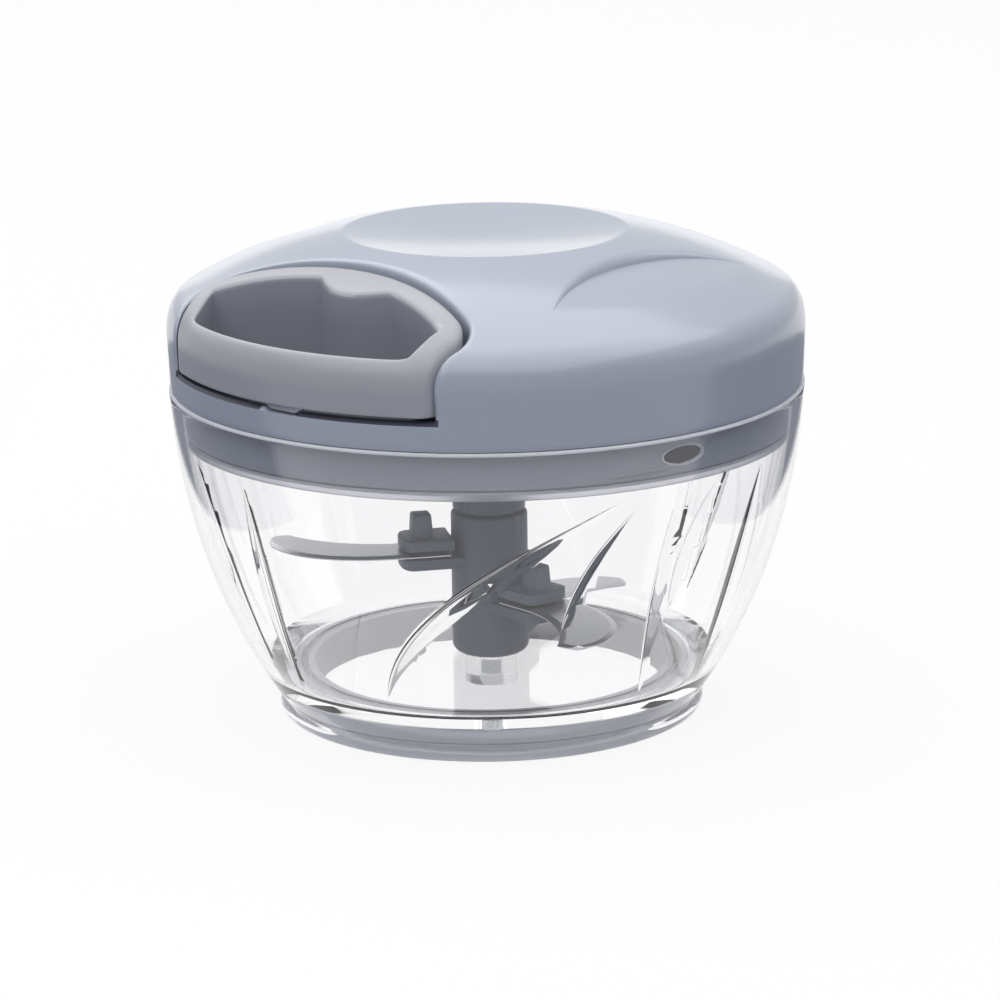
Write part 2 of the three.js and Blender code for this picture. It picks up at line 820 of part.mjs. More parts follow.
function sawOutline() {
  const points = [];
  for (let i = 0; i < ratchetTeeth; i += 1) {
    const face = (i / ratchetTeeth) * 2 * Math.PI;
    const next = ((i + 1) / ratchetTeeth) * 2 * Math.PI;
    points.push(polar(ratchetValley, face), polar((ratchetValley + ratchetCrest) / 2, (face + next) / 2));
    points.push(polar(ratchetCrest, next));
  }
  return outlineOf(points);
}

function makeCordReel() {
  const bore = postRadius + seatGap;
  const hub = bore + hubWall;
  const drumInner = drumRadius - drumWall;
  const spool = turnedRing([
    [bore, postBottomZ],
    [hub, postBottomZ],
    [hub, reelWebZ],
    [reelFlangeRadius, reelWebZ],
    [reelFlangeRadius, webTopZ],
    [drumRadius, webTopZ],
    [drumRadius, upperFlangeZ],
    [reelFlangeRadius, upperFlangeZ],
    [reelFlangeRadius, reelTopZ],
    [drumInner, reelTopZ],
    [drumInner, webTopZ],
    [bore, webTopZ],
  ], ringSteps);
  const toothLow = reelWebZ - ratchetHeight;
  const ratchet = sleeve(hub, ratchetRadius, toothLow, reelWebZ + reelFlange / 2, ringSteps)
    .subtract(prism(sawOutline(), toothLow - overrun, reelWebZ));
  return spool.add(ratchet);
}

// Three spring arms that trail outwards from the hub, each with its tip behind a saw tooth.
function makePawlWheel() {
  const low = pawlZ;
  const high = pawlZ + pawlThickness;
  const hubOuter = pawlHub + pawlHubWall;
  const tip = ratchetValley - seatGap - seatGap / 2;
  const lead = seatGap / tip;
  const steps = 4;
  const arms = [];
  for (let arm = 0; arm < pawlCount; arm += 1) {
    const face = (arm / pawlCount) * 2 * Math.PI + lead;
    const shares = Array.from({ length: steps + 1 }, (_, i) => i / steps);
    const line = (offset) => shares.map((share) => {
      const radius = THREE.MathUtils.lerp(tip, hubOuter - seatGap, share) - offset;
      return polar(radius, face + share * degrees(pawlSweep));
    });
    const outline = outlineOf([...line(0), ...line(pawlWidth).reverse()]);
    arms.push(prism(outline, low, high));
  }
  const keyRoom = keyRadius + seatGap;
  const keyHoles = keyAngles().map((angle) => {
    const hole = rod(keyRoom, low - overrun, high + overrun, 10);
    return hole.translate([...polar(keyPitchRadius, angle), 0]);
  });
  const hub = sleeve(pawlHub - keyRadius, hubOuter + keyRadius, low, high);
  return joined([hub, ...arms]).subtract(joined(keyHoles));
}

function keyAngles() {
  return Array.from({ length: pawlCount }, (_, i) => degrees(30) + (i / pawlCount) * 2 * Math.PI);
}

function makeMainspring() {
  const inner = postRadius + seatGap + springThickness / 2;
  const outer = drumRadius - drumWall - seatGap - springThickness / 2;
  const middle = webTopZ + seatGap + springHeight / 2;
  const spiral = new FlatSpiral(inner, outer, springTurns, middle);
  console.log('mainspring least gap', leastGap(spiral, springTurns, springThickness).toFixed(2));
  const [tall, thin] = [springHeight / 2, springThickness / 2];
  const strip = outlineOf([[-tall, -thin], [tall, -thin], [tall, thin], [-tall, thin]]);
  return tube(spiral, strip, springTurns * 24);
}

function makeSpringCover() {
  const low = reelTopZ + seatGap;
  return sleeve(postRadius + seatGap, drumRadius, low, low + coverDisc, ringSteps);
}

function makeReelWasher() {
  const top = postBottomZ - seatGap;
  return sleeve(postHole, washerRadius - keyRadius, top - washerThickness, top, 20);
}

// Drive socket: a hexagon socket that takes the column's head, a flange and three keys for the pawls.

function hexagon(radius, low, high) {
  return prism(roundSection(radius, 6), low, high);
}

function makeDriveSocket() {
  const screwRoom = screwHeadRadius + seatGap;
  const body = turned([
    [0, driveBottomZ],
    [driveRadius, driveBottomZ],
    [driveRadius, driveFlangeZ],
    [driveFlangeRadius, driveFlangeZ],
    [driveFlangeRadius, driveTopZ],
    [screwRoom, driveTopZ],
    [screwRoom, driveTopZ - driveFlange],
    [0, driveTopZ - driveFlange],
  ], ringSteps);
  const keys = keyAngles().map((angle) => {
    const key = rod(keyRadius, driveFlangeZ, pawlZ + pawlThickness, 10);
    return key.translate([...polar(keyPitchRadius, angle), 0]);
  });
  const socket = hexagon(headRadius + 2 * seatGap, driveBottomZ - overrun, driveBottomZ + driveSocketDepth);
  return joined([body, ...keys]).subtract(socket);
}

function makeDriveBush() {
  const inner = driveRadius + seatGap;
  return sleeve(inner, inner + bushWall, plateZ - bushHeight, plateTopZ);
}

// Blade column: hollow foot for the pin, three arms a third of a turn apart, hexagon head.

const bladeLevels = [0, 1, 2].map((i) => ({
  z: bladeLowZ + i * bladeStepZ,
  angle: bladeFirstAngle - i * 120,
}));
const bladeNames = ['low', 'middle', 'high'];

// A bar that lies along +X and is cut off round at its end.
function bar(innerX, outerX, width, low, high) {
  const half = width / 2;
  const shape = new THREE.Shape();
  shape.moveTo(innerX, -half);
  shape.lineTo(outerX - half / 2, -half);
  shape.quadraticCurveTo(outerX, -half, outerX, 0);
  shape.quadraticCurveTo(outerX, half, outerX - half / 2, half);
  shape.lineTo(innerX, half);
  return prism(shape, low, high, 3);
}

function makeBladeColumn() {
  const foot = floorZ + seatGap;
  const bore = pinRadius + seatGap;
  const boreTop = pinTopZ + seatGap;
  const core = turned([
    [0, boreTop],
    [bore, boreTop],
    [bore, foot],
    [columnRadius - columnChamfer, foot],
    [columnRadius, foot + columnChamfer],
    [columnRadius, columnTopZ - columnChamfer / 2],
    [columnRadius - columnChamfer / 2, columnTopZ],
    [0, columnTopZ],
  ], ringSteps);
  const head = hexagon(headRadius, columnTopZ - columnChamfer, columnTopZ + headHeight);
  const arms = bladeLevels.map(({ z, angle }) => {
    const top = z - bladeThickness / 2 - seatGap;
    const arm = bar(columnRadius / 2, armLength, armWidth, top - armThickness, top);
    const hole = rod(pegShank + seatGap, top - armThickness - overrun, top + overrun, 10);
    return turnZ(arm.subtract(hole.translate([pegX, 0, 0])), angle);
  });
  const bushing = rod(bore, foot - overrun, boreTop, ringSteps);
  return joined([core, head, ...arms]).subtract(bushing);
}

// A sickle blade, ground to an edge all round, with a hole for the clip's shank.
function makeBlade({ z, angle }) {
  const half = bladeRootWidth / 2;
  const shape = new THREE.Shape();
  shape.moveTo(bladeRootX, half);
  shape.lineTo(armLength, half);
  shape.quadraticCurveTo(armLength + bladeBellyReach, bladeBelly, bladeTipX, bladeTipRise - bladeSweep);
  shape.quadraticCurveTo(bladeTipX + bladeTipOut, -bladeSweep, bladeTipX - bladeTipWidth, -bladeSweep);
  shape.quadraticCurveTo(armLength + bladeHollowReach, -bladeHollow, armLength, -half);
  shape.lineTo(bladeRootX, -half);
  const geometry = new THREE.ExtrudeGeometry(shape, {
    depth: bladeEdge,
    bevelThickness: (bladeThickness - bladeEdge) / 2,
    bevelSize: bladeBevel,
    bevelOffset: -bladeBevel,
    bevelSegments: 1,
    curveSegments: 7,
  });
  const hole = rod(pegShank + seatGap, -overrun, overrun, 10).translate([pegX, 0, 0]);
  const blade = solid(geometry.translate(0, 0, -bladeEdge / 2)).subtract(hole);
  return turnZ(blade.translate([0, 0, z]), angle);
}

// The clip over a blade's root, with its upright peg above and its shank through blade and arm.
function makeBladeClip({ z, angle }) {
  const low = z + bladeThickness / 2 + seatGap;
  const high = low + armThickness;
  const plate = bar(columnRadius + seatGap, armLength, armWidth, low, high);
  const half = pegWidth / 2;
  const peg = box(
    new THREE.Vector3(pegX - half, -half, low),
    new THREE.Vector3(pegX + half, half, high + pegHeight),
  );
  const shankEnd = z - bladeThickness / 2 - seatGap - armThickness;
  const shank = rod(pegShank, shankEnd, high, 10).translate([pegX, 0, 0]);
  return turnZ(joined([plate, peg, shank]), angle);
}

// Finishes
const clear = { color: 0xeef0f6, roughness: 0.05, metalness: 0, transparent: true, opacity: 0.3 };
const silicone = { color: 0x9a9ca8, roughness: 0.5, metalness: 0 };
const lidBlue = { color: 0xbcc3d1, roughness: 0.45, metalness: 0 };
const handleGrey = { color: 0xb6b6b8, roughness: 0.5, metalness: 0 };
const darkGrey = { color: 0x6b6d76, roughness: 0.5, metalness: 0 };
const paleGrey = { color: 0xd8dae0, roughness: 0.5, metalness: 0 };
const steel = { color: 0xb4b6ba, roughness: 0.25, metalness: 1 };
const springSteel = { color: 0x8a8c90, roughness: 0.35, metalness: 1 };
const acetal = { color: 0xe6e6e2, roughness: 0.4, metalness: 0 };
const nylon = { color: 0xdfe0e2, roughness: 0.7, metalness: 0 };

add('bowl', makeBowl(), clear);
add('anti_slip_ring', makeAntiSlipRing(), silicone);
add('spindle_pin', makeSpindlePin(), steel);
add('lid_cover', makeLidCover(), lidBlue);
add('lid_plate', makeLidPlate(), lidBlue);
add('lid_seal', makeLidSeal(), paleGrey);
add('pull_handle', makePullHandle(), handleGrey);
add('cord_winding', makeCordWinding(), nylon);
add('cord_lead', makeCordLead(), nylon);
add('cord_knot', makeCordKnot(), nylon);
add('cord_guide', makeCordGuide(), acetal);
add('cord_reel', makeCordReel(), acetal);
add('pawl_wheel', makePawlWheel(), acetal);
add('mainspring', makeMainspring(), springSteel);
add('spring_cover', makeSpringCover(), acetal);
add('reel_washer', makeReelWasher(), steel);
const reelScrewTop = postBottomZ - seatGap - washerThickness - seatGap;
add('reel_screw', screw(reelScrewTop, screwLength, screwHeadRadius, screwHeadHeight), steel);
add('drive_socket', makeDriveSocket(), darkGrey);
add('drive_bush', makeDriveBush(), acetal);
add('blade_column', makeBladeColumn(), darkGrey);
bladeLevels.forEach((level, i) => {
  add(`blade_${bladeNames[i]}`, makeBlade(level), steel);
  add(`blade_clip_${bladeNames[i]}`, makeBladeClip(level), darkGrey);
});
screwPlaces().forEach(([x, y], i) => {
  const body = screw(plateZ - seatGap, screwLength - overrun, screwHeadRadius, screwHeadHeight);
  add(`lid_screw_${i + 1}`, body.translate([x, y, 0]), steel);
});

export default group;
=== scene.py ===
# %% [markdown]
# # A pull-cord food chopper
# A clear bowl stands on a silicone ring. Its domed lid hides a reel: pulling the grey handle turns
# three sickle blades on a column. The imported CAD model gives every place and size, and this script
# models the visible pieces again, finer and rounder, in the same frame.

import json
import math

import bmesh
import bpy
from mathutils import Matrix, Vector
from mathutils.bvhtree import BVHTree

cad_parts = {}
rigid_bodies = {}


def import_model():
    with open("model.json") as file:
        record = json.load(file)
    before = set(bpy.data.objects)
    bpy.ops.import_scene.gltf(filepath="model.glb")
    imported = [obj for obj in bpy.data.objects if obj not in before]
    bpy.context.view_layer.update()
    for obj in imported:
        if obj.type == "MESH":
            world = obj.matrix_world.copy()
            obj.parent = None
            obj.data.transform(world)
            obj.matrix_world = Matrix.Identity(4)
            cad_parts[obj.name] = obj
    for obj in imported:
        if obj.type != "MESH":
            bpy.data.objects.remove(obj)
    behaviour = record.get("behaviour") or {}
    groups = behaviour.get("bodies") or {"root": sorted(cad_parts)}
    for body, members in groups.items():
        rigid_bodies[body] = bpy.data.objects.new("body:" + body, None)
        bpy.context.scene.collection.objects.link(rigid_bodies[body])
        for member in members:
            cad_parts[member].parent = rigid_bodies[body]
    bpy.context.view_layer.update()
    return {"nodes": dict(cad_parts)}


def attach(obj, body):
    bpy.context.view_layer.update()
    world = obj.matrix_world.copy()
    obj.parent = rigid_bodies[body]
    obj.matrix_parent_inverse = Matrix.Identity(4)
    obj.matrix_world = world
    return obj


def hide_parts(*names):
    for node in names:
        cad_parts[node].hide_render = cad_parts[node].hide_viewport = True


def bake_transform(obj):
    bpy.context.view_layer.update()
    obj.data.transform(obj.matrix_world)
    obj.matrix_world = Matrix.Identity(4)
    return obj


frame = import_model()
mm = 0.001

# %% [markdown]
# ## Camera
# The photograph was taken from a little above the rim, an eighth of a turn to the right of the handle.
# A long lens far away keeps the ellipses as flat as they are there. The shift and the small roll put
# the object on the same place of the picture.

# %% Camera
view_turn, view_rise = math.radians(41.4), math.radians(14.5)
camera_distance, camera_roll = 0.8, math.radians(-0.9)
target = Vector((0, 0, 45)) * mm
backwards = Vector((
    math.sin(view_turn) * math.cos(view_rise),
    -math.cos(view_turn) * math.cos(view_rise),
    math.sin(view_rise),
))
bpy.ops.object.camera_add()
camera = bpy.context.object
camera.name = "camera"
camera.location = target + backwards * camera_distance
camera.rotation_mode = "QUATERNION"
level_camera = (-backwards).to_track_quat("-Z", "Y").to_matrix().to_quaternion()
camera.rotation_quaternion = level_camera @ Matrix.Rotation(camera_roll, 3, "Z").to_quaternion()
camera.data.lens = 147.8
camera.data.sensor_width = 36
camera.data.shift_x, camera.data.shift_y = 0.0116, -0.023
camera.data.clip_start, camera.data.clip_end = 0.05, 20
bpy.context.scene.camera = camera
print("Camera at", [round(c, 3) for c in camera.location])

# %% [markdown]
# ## Helpers for modelling
# Turned parts are a line drawn by extruding one vertex again and again, then spun round the axis.
# Flat parts are the same kind of line, filled and extruded upwards. Parts that change along their
# length are a grid whose rows are laid through the piece's sections. Holes and joints are Boolean
# modifiers, applied at once.

# %% Selecting
def clear_selection():
    """Object mode, with nothing selected."""
    if bpy.context.mode != "OBJECT":
        bpy.ops.object.mode_set(mode="OBJECT")
    bpy.ops.object.select_all(action="DESELECT")


def only(piece):
    """Object mode, with this piece alone selected and active."""
    clear_selection()
    piece.select_set(True)
    bpy.context.view_layer.objects.active = piece


def named(name):
    """The object just added, with this name."""
    piece = bpy.context.object
    piece.name = piece.data.name = name
    return piece


# %% Drawing a line of edges
def drawn_line(name, points, rounds=()):
    """A line through points in mm, in edit mode. rounds are (point number, radius, segments)."""
    clear_selection()
    bpy.ops.mesh.primitive_plane_add(size=mm)
    line = named(name)
    bpy.ops.object.mode_set(mode="EDIT")
    bpy.ops.mesh.select_mode(type="VERT")
    bpy.ops.mesh.select_all(action="SELECT")
    bpy.ops.mesh.merge(type="CENTER")
    here = Vector(points[0]) * mm
    bpy.ops.transform.translate(value=here)
    for point in points[1:]:
        there = Vector(point) * mm
        bpy.ops.mesh.extrude_region_move(TRANSFORM_OT_translate={"value": there - here})
        here = there
    for number, radius, segments in rounds:
        spot = Vector(points[number]) * mm
        bpy.ops.mesh.select_all(action="DESELECT")
        shape = bmesh.from_edit_mesh(line.data)
        corner = min(shape.verts, key=lambda v: (v.co - spot).length)
        corner.select = True
        bmesh.update_edit_mesh(line.data)
        bpy.ops.mesh.bevel(affect="VERTICES", offset=radius * mm, segments=segments)
    return line


def closed_up(piece, doubles_within=0.004):
    """Points nearer than this in mm merged and faces turned outwards, back in object mode."""
    if bpy.context.mode != "EDIT_MESH":
        only(piece)
        bpy.ops.object.mode_set(mode="EDIT")
    bpy.ops.mesh.select_all(action="SELECT")
    bpy.ops.mesh.remove_doubles(threshold=doubles_within * mm)
    bpy.ops.mesh.normals_make_consistent(inside=False)
    bpy.ops.object.mode_set(mode="OBJECT")
    return piece


def spun(name, profile, steps, rounds=()):
    """(radius, height) pairs in mm, drawn and spun once round the Z axis."""
    line = drawn_line(name, [(radius, 0, height) for radius, height in profile], rounds)
    bpy.ops.mesh.select_all(action="SELECT")
    bpy.ops.mesh.spin(steps=steps, angle=2 * math.pi, center=(0, 0, 0), axis=(0, 0, 1))
    return closed_up(line)


def raised(name, outline, low, high):
    """An outline of (x, y) pairs in mm, filled at one height and extruded to another."""
    sheet = drawn_line(name, [(x, y, low) for x, y in outline])
    bpy.ops.mesh.select_all(action="SELECT")
    bpy.ops.mesh.edge_face_add()
    bpy.ops.mesh.extrude_region_move(TRANSFORM_OT_translate={"value": (0, 0, (high - low) * mm)})
    return closed_up(sheet)


# %% Laying a grid through sections
def lofted(name, rows, caps=True):
    """Rows of points in mm, each row closed on itself. Without caps the last row meets the first."""
    if not caps:
        rows = [*rows, rows[0]]
    rows = [[*row, row[0]] for row in rows]
    clear_selection()
    columns = len(rows[0])
    bpy.ops.mesh.primitive_grid_add(x_subdivisions=columns - 1, y_subdivisions=len(rows) - 1, size=mm)
    skin = named(name)
    skin.data.vertices.foreach_set("co", [c * mm for row in rows for point in row for c in point])
    skin.data.update()
    bpy.ops.object.mode_set(mode="EDIT")
    bpy.ops.mesh.select_all(action="SELECT")
    bpy.ops.mesh.remove_doubles(threshold=0.002 * mm)
    if caps:
        bpy.ops.mesh.select_all(action="DESELECT")
        bpy.ops.mesh.select_non_manifold(
            extend=False, use_wire=False, use_multi_face=False, use_verts=False,
        )
        bpy.ops.mesh.fill_holes(sides=0)
    return closed_up(skin)


def turned_by(piece, degrees):
    """The mesh turned about the Z axis, so that the object itself stays unturned."""
    piece.data.transform(Matrix.Rotation(math.radians(degrees), 4, "Z"))
    return piece


def moved_by(piece, x, y):
    """The mesh moved by mm, so that the object itself stays at the origin."""
    piece.data.transform(Matrix.Translation(Vector((x, y, 0)) * mm))
    return piece


# %% Joining, cutting and smoothing
def combined(piece, other, operation):
    """A Boolean modifier with the other piece, applied, after which the other is gone."""
    only(piece)
    change = piece.modifiers.new("combine", "BOOLEAN")
    change.operation, change.solver, change.object = operation, "EXACT", other
    bpy.ops.object.modifier_apply(modifier=change.name)
    bpy.data.objects.remove(other)
    return piece


def cut(piece, other):
    return combined(piece, other, "DIFFERENCE")


def merged(piece, other):
    return combined(piece, other, "UNION")


def smoothed(piece, degrees):
    """Smooth shading everywhere but over edges sharper than an angle."""
    only(piece)
    bpy.ops.object.shade_smooth_by_angle(angle=math.radians(degrees))
    return piece


def rounded_edges(piece, width, degrees=40, segments=3):
    """A Bevel modifier on the edges sharper than an angle, applied."""
    only(piece)
    change = piece.modifiers.new("round", "BEVEL")
    change.width, change.segments = width * mm, segments
    change.limit_method, change.angle_limit = "ANGLE", math.radians(degrees)
    bpy.ops.object.modifier_apply(modifier=change.name)
    return piece


# %% Fitting a finished piece
def fitted(piece, body, slot, material, *nodes):
    """The finished piece rides on its body, stands for its CAD nodes and gets its material."""
    piece.data.materials.clear()
    piece.data.materials.append(material)
    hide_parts(*nodes)
    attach(piece, body)
    print(f"{piece.name}: {len(piece.data.polygons)} faces on {body}")


def second_finish(piece, material, chosen):
    """Another material for the faces that a test of their middle, in mm, and normal picks."""
    piece.data.materials.append(material)
    count = 0
    for face in piece.data.polygons:
        if chosen(*(face.center / mm), face.normal):
            face.material_index = len(piece.data.materials) - 1
            count += 1
    print(f"{piece.name}: {count} faces in {material.name}")


# %% Lines and curves
full_turn = 2 * math.pi
square = ((-1, -1), (1, -1), (1, 1), (-1, 1))


def between(start, end, share):
    """The number that lies at a share of the way from start to end."""
    return start + (end - start) * share


def limited(share):
    """The share, but not under 0 or over 1."""
    return min(max(share, 0.0), 1.0)


def curve_at(start, middle, end, share):
    """The point at a share of the way along a quadratic curve."""
    a, b, c = (1 - share) ** 2, 2 * share * (1 - share), share * share
    return tuple(a * x + b * y + c * z for x, y, z in zip(start, middle, end))


def curve_points(start, middle, end, count):
    """Points on a quadratic curve, both ends included."""
    return [curve_at(start, middle, end, i / count) for i in range(count + 1)]


def polar(radius, degrees):
    """The (x, y) of a point at a radius and an angle."""
    turn = math.radians(degrees)
    return radius * math.cos(turn), radius * math.sin(turn)


# %% [markdown]
# ## Shader groups
# Moulded plastic is never one flat colour: its tool leaves a fine grain, its shine changes a little
# from place to place, and its edges turn paler with use, which also paints a highlight along them. Each of
# these effects is one node group with named inputs, so that every finish below uses it with values of its
# own.

# %% Node helpers
NUMBER, COLOUR, VECTOR = "NodeSocketFloat", "NodeSocketColor", "NodeSocketVector"


def new_group(name, inputs):
    """A shader group with (name, socket type, value) inputs, that gives colour, roughness and normal."""
    group = bpy.data.node_groups.new(name, "ShaderNodeTree")
    for label, kind, value in inputs:
        socket = group.interface.new_socket(name=label, in_out="INPUT", socket_type=kind)
        socket.default_value = value
    for label, kind in (("Colour", COLOUR), ("Roughness", NUMBER), ("Normal", VECTOR)):
        group.interface.new_socket(name=label, in_out="OUTPUT", socket_type=kind)
    return group, group.nodes.new("NodeGroupInput"), group.nodes.new("NodeGroupOutput")


def node(tree, kind, **values):
    """A node with properties and unlinked inputs set by name."""
    made = tree.nodes.new(kind)
    for key, value in values.items():
        if hasattr(made, key):
            setattr(made, key, value)
        else:
            made.inputs[key.replace("_", " ")].default_value = value
    return made


def maths(tree, operation, second=None, **values):
    """A Math node, with its second number where that is fixed."""
    made = node(tree, "ShaderNodeMath", operation=operation, **values)
    if second is not None:
        made.inputs[1].default_value = second
    return made


def linked(tree, *links):
    """Links between nodes, each given as node, output, node, input."""
    for giver, output, taker, entry in links:
        tree.links.new(giver.outputs[output], taker.inputs[entry])


# %% Moulded grain
grain_group, given, result = new_group("moulded_grain", [
    ("Colour", COLOUR, (1, 1, 1, 1)), ("Drift", NUMBER, 0.05), ("Grain", NUMBER, 2500.0),
    ("Depth", NUMBER, 0.1), ("Roughness", NUMBER, 0.4), ("Wear and highlight", NUMBER, 0.2),
])
place = node(grain_group, "ShaderNodeTexCoord")
fine = node(grain_group, "ShaderNodeTexNoise", Detail=2.0, Roughness=0.6)
broad = node(grain_group, "ShaderNodeTexNoise", Scale=45.0, Detail=3.0)
shine = node(grain_group, "ShaderNodeMapRange", To_Min=-0.05, To_Max=0.05)
rough = maths(grain_group, "ADD", use_clamp=True)
drift = node(grain_group, "ShaderNodeMapRange", To_Min=-0.5, To_Max=0.5)
drift_share = maths(grain_group, "MULTIPLY")
level = maths(grain_group, "ADD", 1.0)
tone = node(grain_group, "ShaderNodeVectorMath", operation="SCALE")
# Edges found by pointiness turn paler: partly from use, partly a painted highlight.
edges = node(grain_group, "ShaderNodeNewGeometry")
edge_mask = node(grain_group, "ShaderNodeMapRange", From_Min=0.52, From_Max=0.6)
wear_and_highlight_share = maths(grain_group, "MULTIPLY")
paler = node(grain_group, "ShaderNodeMix", data_type="RGBA", blend_type="SCREEN")
paler.inputs["B"].default_value = (0.45, 0.45, 0.45, 1)
bump = node(grain_group, "ShaderNodeBump", Distance=0.0001)
linked(
    grain_group,
    (place, "Object", fine, "Vector"), (place, "Object", broad, "Vector"), (given, "Grain", fine, "Scale"),
    (broad, "Fac", shine, "Value"), (shine, "Result", rough, 0), (given, "Roughness", rough, 1),
    (rough, 0, result, "Roughness"),
    (broad, "Fac", drift, "Value"), (drift, "Result", drift_share, 0), (given, "Drift", drift_share, 1),
    (drift_share, 0, level, 0), (given, "Colour", tone, 0), (level, 0, tone, "Scale"),
    (edges, "Pointiness", edge_mask, "Value"), (edge_mask, "Result", wear_and_highlight_share, 0),
    (given, "Wear and highlight", wear_and_highlight_share, 1), (wear_and_highlight_share, 0, paler, "Factor"), (tone, 0, paler, "A"),
    (paler, "Result", result, "Colour"),
    (fine, "Fac", bump, "Height"), (given, "Depth", bump, "Strength"), (bump, "Normal", result, "Normal"),
)
print("Group moulded_grain:", len(grain_group.nodes), "nodes")

# %% Ground metal
ground_group, given, result = new_group("ground_lines", [
    ("Colour", COLOUR, (0.6, 0.6, 0.6, 1)), ("Stretch", VECTOR, (200.0, 4000.0, 2000.0)),
    ("Depth", NUMBER, 0.1), ("Roughness", NUMBER, 0.25),
])
place = node(ground_group, "ShaderNodeTexCoord")
stretch = node(ground_group, "ShaderNodeVectorMath", operation="MULTIPLY")
lines = node(ground_group, "ShaderNodeTexNoise", Scale=1.0, Detail=3.0)
tint = node(ground_group, "ShaderNodeMapRange", To_Min=0.85, To_Max=1.1)
tone = node(ground_group, "ShaderNodeVectorMath", operation="SCALE")
shine = node(ground_group, "ShaderNodeMapRange", To_Min=-0.08, To_Max=0.08)
rough = maths(ground_group, "ADD", use_clamp=True)
bump = node(ground_group, "ShaderNodeBump", Distance=0.00005)
linked(
    ground_group,
    (place, "Object", stretch, 0), (given, "Stretch", stretch, 1), (stretch, 0, lines, "Vector"),
    (lines, "Fac", tint, "Value"), (given, "Colour", tone, 0), (tint, "Result", tone, "Scale"),
    (tone, 0, result, "Colour"),
    (lines, "Fac", shine, "Value"), (shine, "Result", rough, 0), (given, "Roughness", rough, 1),
    (rough, 0, result, "Roughness"),
    (lines, "Fac", bump, "Height"), (given, "Depth", bump, "Strength"), (bump, "Normal", result, "Normal"),
)
print("Group ground_lines:", len(ground_group.nodes), "nodes")

# %% [markdown]
# ## Finishes
# Each material is one of the two groups with values of its own, and the constants of its shader. The
# lid is glossier than the handle, so its clear coat is stronger. Pale, shaded and deep plastic are
# painted light and shade: a painted highlight on the bead round a window and in the foot ring's grooves,
# painted shade in the handle's opening and in the windows' recesses, and a painted shadow on the floor of
# the handle's pocket.

# %% Making a finish
def new_material(name):
    """A material with its node tree and its Principled shader."""
    material = bpy.data.materials.new(name)
    material.use_nodes = True
    return material, material.node_tree, material.node_tree.nodes["Principled BSDF"]


def new_finish(name, group, values, **shader_values):
    """A material whose Principled shader takes colour, roughness and normal from a shared group."""
    material, tree, shader = new_material(name)
    effect = node(tree, "ShaderNodeGroup", node_tree=group)
    for label, value in values.items():
        effect.inputs[label].default_value = value
    linked(tree, (effect, "Colour", shader, "Base Color"), (effect, "Roughness", shader, "Roughness"),
           (effect, "Normal", shader, "Normal"))
    for label, value in shader_values.items():
        shader.inputs[label.replace("_", " ")].default_value = value
    return material


def shade(red, green, blue):
    """A colour given as it shows on screen, from 0 to 255, as the shader wants it."""
    return tuple(((c / 255 + 0.055) / 1.055) ** 2.4 for c in (red, green, blue)) + (1,)


def moulded(name, colour, roughness, drift=0.04, grain=2400.0, depth=0.2, wear_and_highlight=0.0, **shader_values):
    """A plastic or silicone out of a mould, by its values in the grain group."""
    values = {"Colour": shade(*colour), "Drift": drift, "Grain": grain, "Depth": depth,
              "Roughness": roughness, "Wear and highlight": wear_and_highlight}
    return new_finish(name, grain_group, values, **shader_values)


def steel(name, colour, roughness, stretch, depth):
    """A bare metal, whose ground lines are a noise stretched along the axes."""
    values = {"Colour": shade(*colour), "Stretch": stretch, "Depth": depth, "Roughness": roughness}
    return new_finish(name, ground_group, values, Metallic=1.0)


# %% Finishes
lid_plastic = moulded(
    "lid_plastic", (174, 180, 193), 0.34, drift=0.03, grain=3000.0, depth=0.1, wear_and_highlight=0.1,
    Specular_IOR_Level=0.5, Coat_Weight=0.8, Coat_Roughness=0.16,
)
handle_plastic = moulded(
    "handle_plastic", (176, 176, 181), 0.42, wear_and_highlight=0.35,
    Specular_IOR_Level=0.4, Coat_Weight=0.4, Coat_Roughness=0.2,
)
dark_plastic = moulded("dark_plastic", (133, 137, 153), 0.5, drift=0.06, wear_and_highlight=0.3)
# Painted shade for the inside of the handle's finger hole.
opening_painted_shade = moulded("opening_painted_shade", (150, 151, 161), 0.45, wear_and_highlight=0.2, Specular_IOR_Level=0.4)
# Painted highlight for the beads round the windows and the foot ring's grooves.
painted_pale_highlight = moulded("painted_pale_highlight", (250, 250, 255), 0.3, drift=0.02, grain=3000.0, depth=0.1)
# Painted shade for the windows' recesses and a painted shadow for the floor of the handle's pocket.
painted_deep_shade = moulded("painted_deep_shade", (66, 66, 80), 0.6, drift=0.06)
white_acetal = moulded("white_acetal", (226, 226, 220), 0.4, grain=1800.0, depth=0.1)
pale_silicone = moulded(
    "pale_silicone", (246, 246, 252), 0.3, grain=5000.0, depth=0.25, Transmission_Weight=0.75, IOR=1.41,
)
grey_silicone = moulded(
    "grey_silicone", (232, 233, 240), 0.55, drift=0.05, grain=5000.0, depth=0.3, Sheen_Weight=0.1,
)
blade_steel = steel("blade_steel", (196, 197, 202), 0.32, (260.0, 5200.0, 2000.0), 0.2)
spring_steel = steel("spring_steel", (150, 152, 158), 0.35, (900.0, 900.0, 5000.0), 0.15)
plated_steel = steel("plated_steel", (190, 192, 196), 0.25, (1500.0, 1500.0, 1500.0), 0.1)
print("Finishes:", len(bpy.data.materials))
